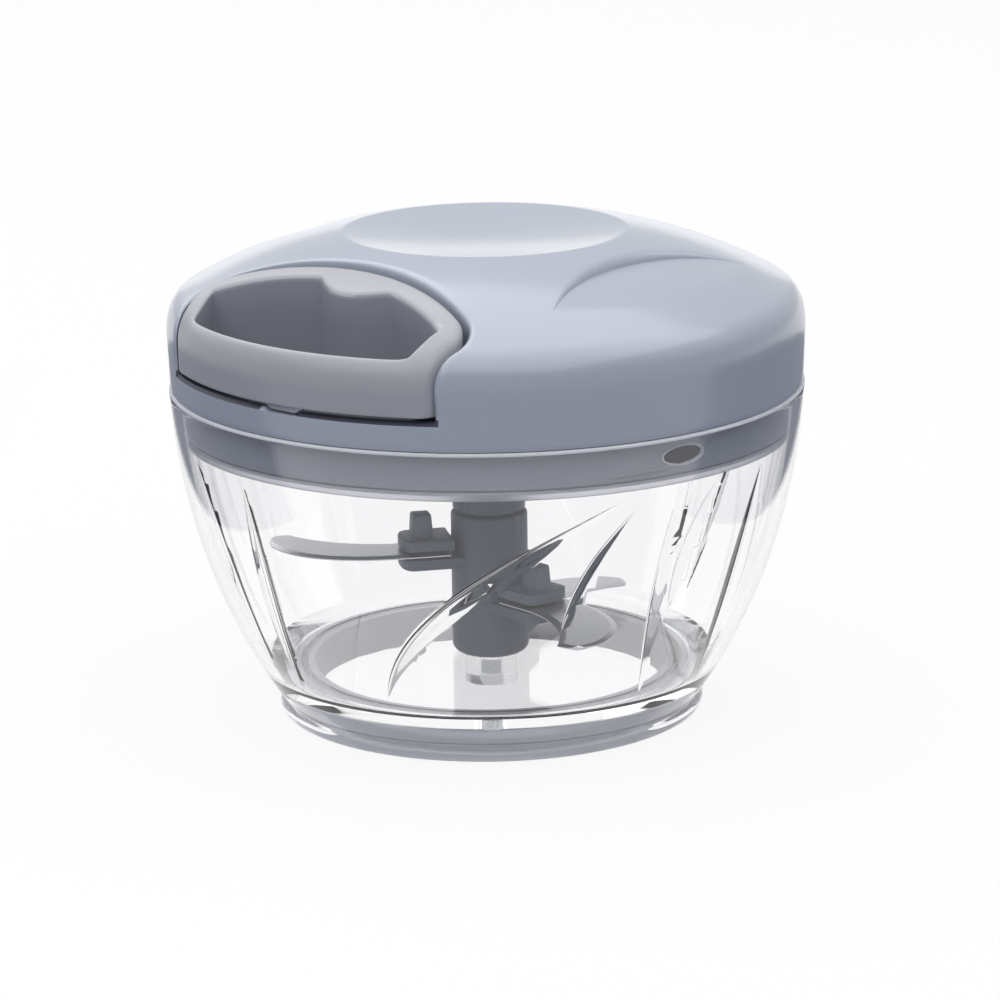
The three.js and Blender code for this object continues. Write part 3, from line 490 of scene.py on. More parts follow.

# %% [markdown]
# ## Clear plastic
# Glass in a render needs three things: walls with two faces, a slight tint that only shows where the
# light runs along the wall, and a way for the lamps to reach what stands behind it. The last is the
# Transparent shader that takes over for shadow rays. The bowl's rim and the underside of its foot have
# a paler finish that lets less light through, a painted highlight for the bright lines there.

# %% Clear plastic
plastic_ior, clear_tint = 1.49, (0.982, 0.984, 0.99, 1)
clear_plastic = new_finish(
    "clear_plastic", grain_group,
    {"Colour": clear_tint, "Drift": 0.01, "Grain": 260.0, "Depth": 0.02, "Roughness": 0.0, "Wear and highlight": 0.0},
    Base_Color=clear_tint, Transmission_Weight=1, IOR=plastic_ior,
)
tree = clear_plastic.node_tree
glass, output = tree.nodes["Principled BSDF"], tree.nodes["Material Output"]
through = node(tree, "ShaderNodeBsdfTransparent", Color=(0.95, 0.95, 0.96, 1))
rays = node(tree, "ShaderNodeLightPath")
pick = node(tree, "ShaderNodeMixShader")
linked(tree, (rays, "Is Shadow Ray", pick, "Fac"), (glass, "BSDF", pick, 1), (through, "BSDF", pick, 2),
       (pick, "Shader", output, "Surface"))
# A pale finish, less clear than the bowl, as a painted highlight on the bowl's rim and foot.
rim_painted_highlight = moulded(
    "rim_painted_highlight", (244, 244, 250), 0.35, drift=0.02, grain=3000.0, depth=0.1,
    Transmission_Weight=0.3, IOR=plastic_ior,
)
print("Clear plastic: IOR", plastic_ior)

# %% [markdown]
# ## Bowl
# The bowl is turned: one quadratic curve gives the outside of the wall, and the inside follows it at
# the wall's thickness. The foot is a flange with a groove for the silicone ring. The profile is drawn
# as one closed line and spun, so the wall has two faces and light bends in it as in the real one.

# %% Bowl wall
wall = 1.9
waist, belly, rim = (40.8, 2.6), (59.5, 29.5), (61.45, 65.1)


def wall_point(share, inset=0):
    """A point on the wall's curve, moved inwards square to it."""
    radius, height = curve_at(waist, belly, rim, share)
    along_r, along_z = (
        2 * (1 - share) * (b - a) + 2 * share * (c - b) for a, b, c in zip(waist, belly, rim)
    )
    length = math.hypot(along_r, along_z)
    return radius - inset * along_z / length, height + inset * along_r / length


def inner_radius(height):
    """The inner wall's radius at a height, by halving."""
    low, high = 0.0, 1.0
    for _ in range(24):
        middle = (low + high) / 2
        if wall_point(middle, wall)[1] < height:
            low = middle
        else:
            high = middle
    return wall_point(low, wall)[0]


print("Inner radius at half height, mm:", round(inner_radius(rim[1] / 2), 2))

# %% Bowl body
floor_z, floor_under, floor_edge = 10.1, 7.9, 39.5
foot_radius, foot_inner, foot_lift = 41.6, 39.4, 0.4
inner_from, inner_share, inner_rows, outer_rows = 0.13, 0.85, 34, 44
inner_low = wall_point(inner_from, wall)
fillet_middle = (between(floor_edge, inner_low[0], 0.5), floor_z)
fillet = curve_points((floor_edge, floor_z), fillet_middle, inner_low, 6)
inner_wall = [
    wall_point(inner_from + inner_share * i / inner_rows, wall) for i in range(1, inner_rows + 1)
]
outer_wall = [wall_point(1 - i / outer_rows) for i in range(1, outer_rows)]
profile = [
    (0, 3.9), (2.3, 3.9), (2.3, floor_z),
    *fillet, *inner_wall, (rim[0] - wall, rim[1]), rim, *outer_wall,
    waist, (foot_radius, 1.8), (foot_radius, foot_lift), (foot_inner, foot_lift), (foot_inner, floor_under),
    (37.4, floor_under), (37.4, 4.0), (36.5, 4.0), (36.5, floor_under),
    (5.1, floor_under), (5.1, 2.4), (0, 2.4),
]
rim_at = profile.index(rim)
foot_at = profile.index((foot_radius, 1.8))
bowl = spun("clear_bowl", profile, 192, [
    (rim_at - 1, 0.4, 3), (rim_at, 0.65, 4),
    (foot_at, 0.5, 3), (foot_at + 1, 0.5, 3), (foot_at + 2, 0.4, 2),
])
print("Bowl body:", len(bowl.data.polygons), "faces")

# %% [markdown]
# ## Ribs in the bowl
# Ribs swept into the inside of the wall stop the food from just turning with the blades. In clear
# plastic they show as lens-shaped lines. Each rib is a grid laid along a curved path, steep on its
# upper side and gentle on its lower one, narrowing to a point at both ends, and sunk a little into
# the wall before the union.

# %% Ribs
rib_table = [
    ((-19.3, -19.5, -24), (0.23, 0.83), 0.6),
    ((-10, -7.6, -8.3), (0.2, 0.82), 0.9),
    ((17, 34, 66), (0.22, 0.83), 0.85),
    ((55.5, 60.2, 68.6), (0.45, 0.8), 0.4),
    ((78.2, 75.9, 76.6), (0.2, 0.79), 0.6),
    ((79, 81, 86.5), (0.48, 0.84), 0.55),
    ((99.5, 99.2, 100), (0.2, 0.84), 1.2),
]
rib_width, rib_height, rib_sink = 5.2, 1.2, 0.9
rib_section = [(-1, -1), (-0.92, 0), (-0.8, 0.55), (-0.62, 0.9), (-0.42, 1), (-0.15, 0.86), (0.2, 0.52),
               (0.6, 0.2), (0.92, 0), (1, -1)]


def rib(turns, heights, width, half_turn):
    """One rib from a row of the table: its turns and heights along the path, and its width."""
    foot, top = (share * rim[1] for share in heights)
    middle_turn = 2 * turns[1] - (turns[0] + turns[2]) / 2
    path = curve_points((turns[0], foot), (middle_turn, (foot + top) / 2), (turns[2], top), 26)
    rows = []
    for i, (turn, height) in enumerate(path):
        before, after = path[max(i - 1, 0)], path[min(i + 1, len(path) - 1)]
        radius = inner_radius(height)
        slant = Vector((math.radians(after[0] - before[0]) * radius, after[1] - before[1])).normalized()
        swell = 0.04 + 0.96 * max(0.0, math.sin(math.pi * i / (len(path) - 1))) ** 0.8
        half = width * rib_width * swell / 2
        row = []
        for across, rise in rib_section:
            level = height - across * half * slant.x
            here = inner_radius(level)
            out = rib_height * swell * rise if rise > 0 else rib_sink * rise
            angle = turn - 90 + half_turn + math.degrees(across * half * slant.y / radius)
            row.append((*polar(here - out, angle), level))
        rows.append(row)
    return lofted("rib", rows)


for half_turn in (0, 180):
    for turns, heights, width in rib_table:
        merged(bowl, rib(turns, heights, width, half_turn))
smoothed(bowl, 40)
fitted(bowl, "base", "clear_plastic", clear_plastic, "bowl")
# The rim's rounding and the foot's underside take the painted highlight.
rim_highlight_z, rim_highlight_radius, foot_highlight_z, foot_highlight_radius = 64.45, 60.9, 0.75, 39.5


def rim_and_foot_highlight_faces(x, y, z, normal):
    """The rim's rounding and the underside of the foot, which take a painted highlight."""
    radius = math.hypot(x, y)
    on_rim = z > rim_highlight_z and radius > rim_highlight_radius
    return on_rim or (z < foot_highlight_z and radius > foot_highlight_radius)


second_finish(bowl, rim_painted_highlight, rim_and_foot_highlight_faces)

# %% [markdown]
# ## Foot ring
# The ring of soft silicone under the bowl keeps it from slipping. It is turned, with a groove that
# grips the bowl's tongue and three shallow channels where it touches the table. Two fine grooves
# round its outside are painted pale on their sloping faces, a painted highlight for the pale lines there.

# %% Foot ring
ring_outer, groove_radius = 39.1, 38.5
ring_profile = [
    (34.8, 0.4), (35.6, 0), (36.1, 0), (36.3, 0.35), (36.6, 0.35), (36.8, 0), (37.1, 0), (37.3, 0.35),
    (37.6, 0.35), (37.8, 0), (38.4, 0), (ring_outer, 0.5),
    (ring_outer, 1.0), (groove_radius, 1.45), (ring_outer, 1.55),
    (ring_outer, 3.7), (groove_radius, 4.2), (ring_outer, 4.3),
    (ring_outer, 7.6), (37.7, 7.6), (37.7, 3.7), (36.2, 3.7), (36.2, 7.6), (34.8, 7.6), (34.8, 0.4),
]
foot_ring = spun("foot_ring", ring_profile, 160)
smoothed(foot_ring, 50)
fitted(foot_ring, "base", "grey_silicone", grey_silicone, "anti_slip_ring")


def in_groove(x, y, z, normal):
    """The sloping faces of the two fine grooves, which take a painted highlight."""
    return groove_radius < math.hypot(x, y) < ring_outer - 0.05 and 0.9 < z < 4.4


second_finish(foot_ring, painted_pale_highlight, in_groove)

# %% [markdown]
# ## Lid: the turned form
# The lid is one moulding: a dome with a shallow dish in its middle, a soft shoulder and a nearly
# upright wall. Its outside is turned in fine rows. Then the lines of the two grip scallops and of the
# handle's pocket are cut into the surface as edges, by intersecting it with upright sheets, so that
# the later shaping has rows of its own to follow.

# %% Lid heights
lid_radius, lid_draft, lid_edge, shoulder_z, shoulder_width = 61.5, 0.4, 65.2, 76.0, 3.7
dome_radius, dome_top, dome_drop, dome_power = 58.8, 96.0, 12.86, 2.58
dish_radius, dish_depth, dish_power = 27.3, 1.7, 1.8
shoulder_edge = lid_radius - shoulder_width


def dome_height(radius):
    """The height of dome and dish at a radius."""
    dome = dome_top - dome_drop * (max(radius, dish_radius) / dome_radius) ** dome_power
    return dome - dish_depth * max(1 - (radius / dish_radius) ** dish_power, 0)


edge_z = dome_height(shoulder_edge)
corner_z = edge_z + (edge_z - dome_height(shoulder_edge - shoulder_width))
shoulder = curve_points((shoulder_edge, edge_z), (lid_radius, corner_z), (lid_radius, shoulder_z), 12)


def lid_height(radius):
    """The lid's top surface at a radius, over dome and shoulder."""
    if radius <= shoulder_edge:
        return dome_height(radius)
    share = 1 - math.sqrt(max(0.0, (lid_radius - radius) / shoulder_width))
    return curve_at((edge_z,), (corner_z,), (shoulder_z,), share)[0]


print("Lid heights, mm: middle", round(lid_height(0), 2), "shoulder", round(edge_z, 2))

# %% Lid form
dish_rows = 22
dome_rows = [dish_radius * i / dish_rows for i in range(dish_rows + 1)]
dome_rows += [between(dish_radius, shoulder_edge, i / 36) for i in range(1, 36)]
wall_rows = [(lid_radius - lid_draft * i / 9, between(shoulder_z, lid_edge, i / 9)) for i in range(1, 10)]
outside = [(radius, dome_height(radius)) for radius in dome_rows] + shoulder + wall_rows
lid_rounds = [(dish_rows, 0.4, 3), (len(outside) - 1, 0.15, 2)]
lid = spun("domed_lid", [*outside, (0, lid_edge)], 224, lid_rounds)
print("Lid form:", len(lid.data.polygons), "faces")

# %% Handle outline
handle_half, hip_radius, handle_back, back_radius, side_lean = 33.0, 5.0, -34.9, 75.7, 12.0
back_centre = handle_back - back_radius
hip_x = handle_half - hip_radius
hip_y = back_centre + math.sqrt((back_radius - hip_radius) ** 2 - hip_x ** 2)
hip_turn = math.degrees(math.atan2(hip_y - back_centre, hip_x))
pocket_gap, pocket_floor = 1.05, 70.55


def side_x(y, grow):
    """Where the outline's side, which leans in to the front, is at this y."""
    x, low = polar(hip_radius + grow, -side_lean)
    return hip_x + x - (hip_y + low - y) * math.tan(math.radians(side_lean))


def handle_line(grow, front):
    """The handle's D as (x, y) pairs, from the right front corner round the back to the left."""
    half = [(side_x(front, grow), front)]
    for i in range(9):
        x, y = polar(hip_radius + grow, between(-side_lean, hip_turn, i / 8))
        half.append((hip_x + x, hip_y + y))
    back = [polar(back_radius + grow, between(hip_turn, 180 - hip_turn, i / 40)) for i in range(1, 40)]
    return [*half, *((x, back_centre + y) for x, y in back), *((-x, y) for x, y in reversed(half))]


def outline_distance(x, y):
    """How far a point lies outside the handle's D, in mm, and less than 0 inside."""
    spot = Vector((abs(x) - hip_x, y - hip_y))
    outwards = Vector(polar(1, -side_lean))
    if spot.dot(Vector((outwards.y, -outwards.x))) > 0:
        return spot.dot(outwards) - hip_radius
    if math.degrees(math.atan2(y - back_centre, abs(x))) < hip_turn:
        return spot.length - hip_radius
    return math.hypot(x, y - back_centre) - back_radius


print("Handle outline:", len(handle_line(0, -60)), "points")


# %% Cutting guide lines into the surface
def upright_sheet(line, low, high):
    """An open upright sheet along a line, for cutting edges into another surface."""
    sheet = drawn_line("sheet", [(x, y, low) for x, y in line])
    bpy.ops.mesh.select_all(action="SELECT")
    bpy.ops.mesh.extrude_region_move(TRANSFORM_OT_translate={"value": (0, 0, (high - low) * mm)})
    bpy.ops.object.mode_set(mode="OBJECT")
    return sheet


scallop_centre, scallop_radius, scallop_outer, scallop_depth = 99.4, 65.0, 50.0, 1.8
scallop_inner = scallop_centre - scallop_radius
crease_rows = (0.0, 0.07, 0.17, 0.32, 0.55, 0.85, 1.2, 1.6)
mouth_rows = (0.12, 0.27, 0.5, 0.9, 1.4)
pocket_end = -70
sheets = []
for side in (-1, 1):
    for away in crease_rows:
        arc = [polar(scallop_radius + away, 180 + between(-30, 30, i / 60)) for i in range(61)]
        line = [(side * (scallop_centre + x), y) for x, y in arc]
        sheets.append(upright_sheet(line, 80, 100))
for away in mouth_rows:
    sheets.append(upright_sheet(handle_line(pocket_gap + away, pocket_end), 60, 100))
only(lid)
form = lid.vertex_groups.new(name="form")
form.add(list(range(len(lid.data.vertices))), 1, "REPLACE")
for sheet in sheets:
    sheet.select_set(True)
bpy.ops.object.join()
bpy.ops.object.mode_set(mode="EDIT")
bpy.ops.mesh.select_mode(type="FACE")
bpy.ops.mesh.select_all(action="DESELECT")
bpy.ops.object.vertex_group_select()
bpy.ops.mesh.intersect(mode="SELECT_UNSELECT", separate_mode="CUT", solver="EXACT")
bpy.ops.mesh.select_all(action="DESELECT")
bpy.ops.object.vertex_group_select()
bpy.ops.mesh.select_linked()
bpy.ops.mesh.select_all(action="INVERT")
bpy.ops.mesh.delete(type="FACE")
closed_up(lid)
lid.vertex_groups.clear()
print("Lid with guide lines:", len(lid.data.polygons), "faces")

# %% [markdown]
# ## Lid: hollow, pocket and soft edges
# The hollow is the outer form drawn in by the wall's thickness, less a block that stays round the
# pocket. The pocket itself is the handle's outline grown by a gap. After the cuts, each point on the
# outside near the pocket's mouth sinks a little along the surface's own normal, as a rounding would
# have it, and the scallops are pressed in beside their creases.

# %% Round bars and the tab's form
cord_x, cord_z, handle_low = 3.5, 77.4, 71.4


def upright(x, y, radius, low, high):
    """A round bar along Z, for posts and their holes."""
    clear_selection()
    bpy.ops.mesh.primitive_cylinder_add(
        vertices=32, radius=radius * mm, depth=(high - low) * mm,
        location=Vector((x, y, (low + high) / 2)) * mm,
    )
    return named("upright")


def bore(name, radius, start, end):
    """A round bar along Y at the cord's place, for cutting holes."""
    clear_selection()
    bpy.ops.mesh.primitive_cylinder_add(
        vertices=40, radius=radius * mm, depth=(end - start) * mm, rotation=(math.pi / 2, 0, 0),
        location=Vector((cord_x, (start + end) / 2, cord_z)) * mm,
    )
    return named(name)


def tab(name, half, low, high, front_y, back_y):
    """The pull tab's tapering form, between two upright faces."""
    outline = ((-half, high), (3 - half, low), (half - 3, low), (half, high))
    return lofted(name, [[(cord_x + x, y, z) for x, z in outline] for y in (front_y, back_y)])


# %% Lid hollow
only(lid)
surface = BVHTree.FromObject(lid, bpy.context.evaluated_depsgraph_get())
roof, cover_wall, above_lid = 3.6, 1.9, 110
inner_edge = shoulder_edge - cover_wall
inner_dome = [(inner_edge * i / 12, dome_height(shoulder_edge * i / 12) - roof) for i in range(13)]
inner_shoulder = [(radius - cover_wall, height - roof) for radius, height in shoulder[1:]]
open_end = [(lid_radius - lid_draft - cover_wall, 60), (0, 60)]
hollow = spun("hollow", [*inner_dome, *inner_shoulder, *open_end], 96)
block_line = handle_line(pocket_gap + cover_wall, pocket_end)
cut(hollow, raised("block", block_line, pocket_floor - cover_wall, above_lid))
post_z, boss_z, screw_circle, screw_turns = 73.3, 68.4, 48, (55, 125, 195, 345)
standing = [(0, 0, 3.4, post_z, 94, 11)]
standing += [(*polar(screw_circle, turn), 3.5, boss_z, 87, 9) for turn in screw_turns]
for x, y, radius, low, high, hole_depth in standing:
    cut(hollow, upright(x, y, radius, low, high))
    merged(hollow, upright(x, y, 1.5, low - 0.5, low + hole_depth))
print("Lid hollow:", len(hollow.data.polygons), "faces")

# %% Lid cuts
cut(lid, hollow)
cut(lid, raised("pocket", handle_line(pocket_gap, pocket_end), pocket_floor, above_lid))
cut(lid, bore("guide_hole", 2.5, -35.2, -29.5))
cut(lid, tab("tab_notch", 6.3, handle_low - 1.5, handle_low + 0.3, -66, -59))
print("Lid after its cuts:", len(lid.data.polygons), "faces")


# %% Lid shaping
def rounding(distance, radius):
    """How deep a surface lies under its sharp form, beside an edge rounded to a radius."""
    if distance >= radius:
        return 0.0
    return radius - math.sqrt(radius ** 2 - (radius - max(distance, 0.0)) ** 2)


def scallop_drop(x, y):
    """How deep the surface is pressed in by the scallop on the point's side."""
    radius = math.hypot(x, y)
    share = limited((radius - scallop_inner) / (scallop_outer - scallop_inner))
    step = scallop_depth * (1 - share) ** 1.2
    inside = scallop_radius - math.hypot(abs(x) - scallop_centre, y)
    if inside >= -0.001:
        return step
    roll = 0.5 + 1.1 * (1 - share)
    reach = 1 + inside / roll
    return step * (1 - math.sqrt(1 - reach ** 2)) if reach > 0 else 0.0


# The pocket's mouth is softer on the right than on the left, and its floor has a small rounding.
floor_soft, mouth_soft_left, mouth_soft_right, mouth_left, mouth_run = 0.35, 0.5, 1.4, -22, 30
behind_pocket, beside_scallop, far_away = 12, 4, 99
for vertex in lid.data.vertices:
    spot, normal, _, distance = surface.find_nearest(vertex.co)
    if distance > 0.01 * mm or vertex.co.z < (lid_edge + 0.4) * mm:
        continue
    x, y, z = vertex.co / mm
    across = outline_distance(x, y) - pocket_gap
    below = pocket_floor - z
    gap = math.hypot(max(across, 0), max(below, 0)) if y < handle_back + behind_pocket else far_away
    if z > shoulder_z and abs(x) > scallop_inner - beside_scallop:
        vertex.co.z -= scallop_drop(x, y) * mm
    mouth_soft = between(mouth_soft_left, mouth_soft_right, limited((x - mouth_left) / mouth_run))
    vertex.co -= normal * rounding(gap, mouth_soft if below < 0 else floor_soft) * mm
smoothed(lid, 30)
fitted(lid, "lid", "lid_plastic", lid_plastic, "lid_cover")


def on_pocket_floor(x, y, z, normal):
    """The floor of the handle's pocket, painted dark as the painted shadow under the handle."""
    return abs(z - pocket_floor) < 0.3 and normal.z > 0.2 and y < -20


# The pocket's floor takes a painted shadow: the dark gap under the handle.
second_finish(lid, painted_deep_shade, on_pocket_floor)

# %% [markdown]
# ## Pull handle
# The handle is one thick D-shaped ring that lies in the lid's pocket, a little under the lid's own
# surface. It is laid as a grid: its stations run once round the ring, and each is a closed section
# with rounded edges between the outer and the inner line. The half column for the cord stands out
# into the finger hole, so the inner line swells there, with soft corners.

# %% Handle lines
handle_wall, handle_front, handle_drop = 4.7, 2.9, 0.7
front_radius, inner_front = lid_radius - 0.3, lid_radius - handle_front
inner_back = back_radius - handle_wall
boss_radius, boss_y = 10.0, -34.0


def inner_back_y(x):
    """The finger hole's back edge: its own arc, with the cord boss running softly into it."""
    arc = back_centre + math.sqrt(inner_back ** 2 - x ** 2)
    away = boss_radius ** 2 - (x - cord_x) ** 2
    boss = boss_y - math.sqrt(away) if away > 0 else boss_y
    reach = 3.6
    share = max(reach - abs(arc - boss), 0) / reach
    return min(arc, boss) - share * share * reach / 4


def corner_and_side(sign):
    """Pairs of outer and inner points, from the front arc round the corner to the hip."""
    ends = []
    for grow, radius, soft in ((0, front_radius, 1.4), (-handle_wall, inner_front, 0.6)):
        y = -radius
        for _ in range(30):
            y = -math.sqrt(radius ** 2 - side_x(y, grow) ** 2)
        corner = (side_x(y, grow), y)
        turn = math.degrees(math.atan2(*reversed(corner)) - soft / radius)
        ends.append(curve_points(polar(radius, turn), corner, (side_x(y + soft, grow), y + soft), 7))
    pairs = list(zip(*ends))
    hips = []
    for i in range(10):
        x, y = polar(1, between(-side_lean, hip_turn, i / 9))
        hips.append(tuple((hip_x + r * x, hip_y + r * y) for r in (hip_radius, hip_radius - handle_wall)))
    sides = list(zip(pairs[7], hips[0]))
    for i in range(1, 8):
        pairs.append(tuple(tuple(between(a, b, i / 8) for a, b in zip(*side)) for side in sides))
    pairs += hips
    return [tuple((sign * x, y) for x, y in pair) for pair in pairs]


# %% Handle stations
right, left = corner_and_side(1), corner_and_side(-1)
hip_end = right[-1][1][0]
back_x = [x for x in (hip_end - 0.5 * i for i in range(1, 113)) if x > -hip_end + 0.2]
back_x = [x for i, x in enumerate(back_x) if -9 < x < 16 or i % 3 == 0]
back = []
for x in back_x:
    out_x, out_y = polar(back_radius, math.degrees(math.acos(x / inner_back)))
    back.append(((out_x, back_centre + out_y), (x, inner_back_y(x))))
outer_turn, inner_turn = (math.degrees(math.atan2(y, x)) for x, y in right[0])
skew = outer_turn - inner_turn
front = []
for i in range(1, 60):
    share = i / 60
    out_turn = between(-180 - outer_turn, outer_turn, share)
    bend = skew * (max(0, 1 - 6 * share) ** 2 - max(0, 6 * share - 5) ** 2)
    front.append((polar(front_radius, out_turn), polar(inner_front, out_turn + bend)))
stations = [*right, *back, *reversed(left), *front]
print("Handle stations:", len(stations))


# %% Handle section
outer_round, corner_round, inner_round, foot_round = 1.5, 0.35, 1.25, 0.45
# The top rises a little above the lid's line behind the front edge, most of all at the sides.
crest_front, crest_run, crest_middle, crest_side, crest_half = -53, 6, 0.4, 1.4, 28


def lid_limit(height):
    """The handle's front follows the lid's wall, which leans out a little upwards."""
    return front_radius - lid_draft * max(0.0, shoulder_z - height) / (shoulder_z - lid_edge)


def handle_section(outer, inner):
    """A closed section between two points of the plan: up, over the top, down and back."""
    width = math.dist(outer, inner)
    near_front = limited(1 - (front_radius - math.hypot(*outer)) / 2.5)
    edge, foot = between(outer_round, corner_round, near_front), foot_round

    def plan(u):
        return tuple(between(a, b, u / width) for a, b in zip(outer, inner))

    def top(u):
        x, y = plan(u)
        crest = between(crest_middle, crest_side, limited(abs(x) / crest_half) ** 2)
        crest *= limited((y - crest_front) / crest_run)
        return lid_height(min(math.hypot(x, y) + 0.3, lid_radius)) - handle_drop + crest

    run = width - edge - inner_round
    quarter = [math.radians(15 * k) for k in range(1, 7)]
    thirds = [math.radians(30 * k) for k in range(1, 4)]
    points = [(0, between(handle_low + foot, top(0) - edge, k / 5)) for k in range(6)]
    for a in quarter:
        u = edge * (1 - math.cos(a))
        points.append((u, top(u) - edge * (1 - math.sin(a))))
    for k in range(1, 10):
        u = edge + run * (k / 9) ** 1.4
        points.append((u, top(u)))
    for a in quarter:
        u = width - inner_round * (1 - math.sin(a))
        points.append((u, top(u) - inner_round * (1 - math.cos(a))))
    points += [(width, between(points[-1][1], handle_low + foot, k / 4)) for k in range(1, 5)]
    points += [(width - foot * (1 - math.cos(a)), handle_low + foot * (1 - math.sin(a))) for a in thirds]
    points += [(between(width - foot, foot, k / 4), handle_low) for k in range(1, 5)]
    points += [(foot * (1 - math.sin(a)), handle_low + foot * (1 - math.cos(a))) for a in thirds[:2]]
    row = []
    for u, height in points:
        x, y = plan(u)
        held = min(1.0, lid_limit(height) / math.hypot(x, y))
        row.append((x * held, y * held, height))
    return row


# %% Handle
handle = lofted("pull_ring", [handle_section(*pair) for pair in stations], caps=False)
merged(handle, rounded_edges(tab("tab", 6, handle_low - 1.2, handle_low + 0.4, -60.3, -58.9), 0.3))
knot_y, knot_half = -40.1, 2.6
knot_corners = [(cord_x + a * knot_half, knot_y + b * knot_half) for a, b in square]
cut(handle, raised("knot_room", knot_corners, 67, 80))
cut(handle, bore("cord_hole", 1.5, knot_y, -30))
smoothed(handle, 40)
fitted(handle, "handle", "handle_plastic", handle_plastic, "pull_handle")
opening_middle = Vector((0, -48.3))


def in_opening(x, y, z, normal):
    """The upright faces that look towards the middle of the finger hole, which get painted shade."""
    return abs(normal.z) < 0.5 and normal.xy.dot(opening_middle - Vector((x, y))) > 0


# The inside of the finger hole is painted darker, as painted shade.
second_finish(handle, opening_painted_shade, in_opening)

# %% [markdown]
# ## Cord
# The nylon cord leaves the reel, runs through a smooth eyelet in the pocket's back wall and ends in a
# knot inside the handle's boss. Its windings on the drum and its knot are tubes laid as grids along
# their curves. The braid is two waves that cross, read along and around the cord, so that its strands
# run both ways. Only the straight run crosses the moving joint: it has many short rows near the eyelet.

# %% Braid
strands_around = 4
braid_group, given, result = new_group("cord_braid", [
    ("Along", NUMBER, 0.0), ("Around", NUMBER, 0.0), ("Pitch", NUMBER, 1.6), ("Depth", NUMBER, 0.4),
    ("Colour", COLOUR, (0.8, 0.8, 0.8, 1)),
])
steps = maths(braid_group, "DIVIDE")
turns = maths(braid_group, "MULTIPLY", strands_around)
height = maths(braid_group, "MAXIMUM")
linked(braid_group, (given, "Along", steps, 0), (given, "Pitch", steps, 1), (given, "Around", turns, 0))
for entry, operation in enumerate(("ADD", "SUBTRACT")):
    phase = maths(braid_group, operation)
    angle = maths(braid_group, "MULTIPLY", full_turn)
    wave = maths(braid_group, "SINE")
    linked(braid_group, (steps, 0, phase, 0), (turns, 0, phase, 1), (phase, 0, angle, 0),
           (angle, 0, wave, 0), (wave, 0, height, entry))
# The valleys of the braid are darker: painted shade between the strands.
dark = node(braid_group, "ShaderNodeMapRange", From_Min=-0.6, From_Max=0.8, To_Min=0.45, To_Max=1.0)
tone = node(braid_group, "ShaderNodeVectorMath", operation="SCALE")
dull = node(braid_group, "ShaderNodeMapRange", From_Min=-1.0, To_Min=0.75, To_Max=0.5)
bump = node(braid_group, "ShaderNodeBump", Distance=0.0002)
linked(
    braid_group,
    (height, 0, dark, "Value"), (given, "Colour", tone, 0), (dark, "Result", tone, "Scale"),
    (tone, 0, result, "Colour"), (height, 0, dull, "Value"), (dull, "Result", result, "Roughness"),
    (height, 0, bump, "Height"), (given, "Depth", bump, "Strength"), (bump, "Normal", result, "Normal"),
)
print("Group cord_braid:", len(braid_group.nodes), "nodes")


# %% Cord finishes
def cord_finish(name):
    """A nylon cord's material, whose braid still wants its place along and around the cord."""
    material = new_finish(
        name, braid_group, {"Pitch": 1.6, "Depth": 0.6, "Colour": shade(226, 227, 230)},
        Sheen_Weight=0.2, Sheen_Roughness=0.4,
    )
    effect = next(n for n in material.node_tree.nodes if n.type == "GROUP")
    return material, material.node_tree, effect


def wound_finish(name, length):
    """The braid along a tube's own UV, for a tube of this length in mm."""
    material, tree, effect = cord_finish(name)
    place = node(tree, "ShaderNodeTexCoord")
    split = node(tree, "ShaderNodeSeparateXYZ")
    along = maths(tree, "MULTIPLY", length)
    linked(tree, (place, "UV", split, 0), (split, "Y", along, 0), (along, 0, effect, "Along"),
           (split, "X", effect, "Around"))
    return material


nylon_run, tree, effect = cord_finish("nylon_run")
place = node(tree, "ShaderNodeTexCoord")
spot = node(tree, "ShaderNodeVectorMath", operation="MULTIPLY_ADD")
spot.inputs[1].default_value = (1 / mm, 1 / mm, 1 / mm)
spot.inputs[2].default_value = (-cord_x, 0, -cord_z)
split = node(tree, "ShaderNodeSeparateXYZ")
angle = maths(tree, "ARCTAN2")
share = maths(tree, "DIVIDE", full_turn)
linked(
    tree, (place, "Object", spot, 0), (spot, 0, split, 0), (split, "Y", effect, "Along"),
    (split, "Z", angle, 0), (split, "X", angle, 1), (angle, 0, share, 0), (share, 0, effect, "Around"),
)
print("The cord's run reads its place from", len(tree.nodes), "nodes")


# %% Cord tubes
def tube_rows(path, radius, sides=16, closed=False):
    """Rings of points round a path. The first side vector is carried from ring to ring."""
    ring = [polar(radius, 360 * k / sides) for k in range(sides)]
    rows, side = [], Vector((0, 0, 1))
    for i, point in enumerate(path):
        before, after = path[max(i - 1, 0)], path[min(i + 1, len(path) - 1)]
        if closed:
            before, after = path[i - 1], path[(i + 1) % len(path)]
        along = (Vector(after) - Vector(before)).normalized()
        side = (side - along * side.dot(along)).normalized()
        across = along.cross(side)
        rows.append([tuple(Vector(point) + side * a + across * b) for a, b in ring])
    return rows


cord_radius = 1.0
winding_radius, winding_pitch, winding_turns, winding_steps = 22.8, 2.5, 2.4, 173
eyelet_y = -31.4
lead_turn = math.atan2(eyelet_y, cord_x) - math.acos(winding_radius / math.hypot(cord_x, eyelet_y))
winding_path = []
for i in range(winding_steps + 1):
    share = i / winding_steps
    x, y = polar(winding_radius, math.degrees(lead_turn - 0.013 - share * winding_turns * full_turn))
    winding_path.append((x, y, cord_z + share * winding_turns * winding_pitch))
winding = lofted("cord_on_drum", tube_rows(winding_path, cord_radius))
smoothed(winding, 60)
fitted(winding, "reel", "nylon_cord", wound_finish("nylon_wound", 344.0), "cord_winding")

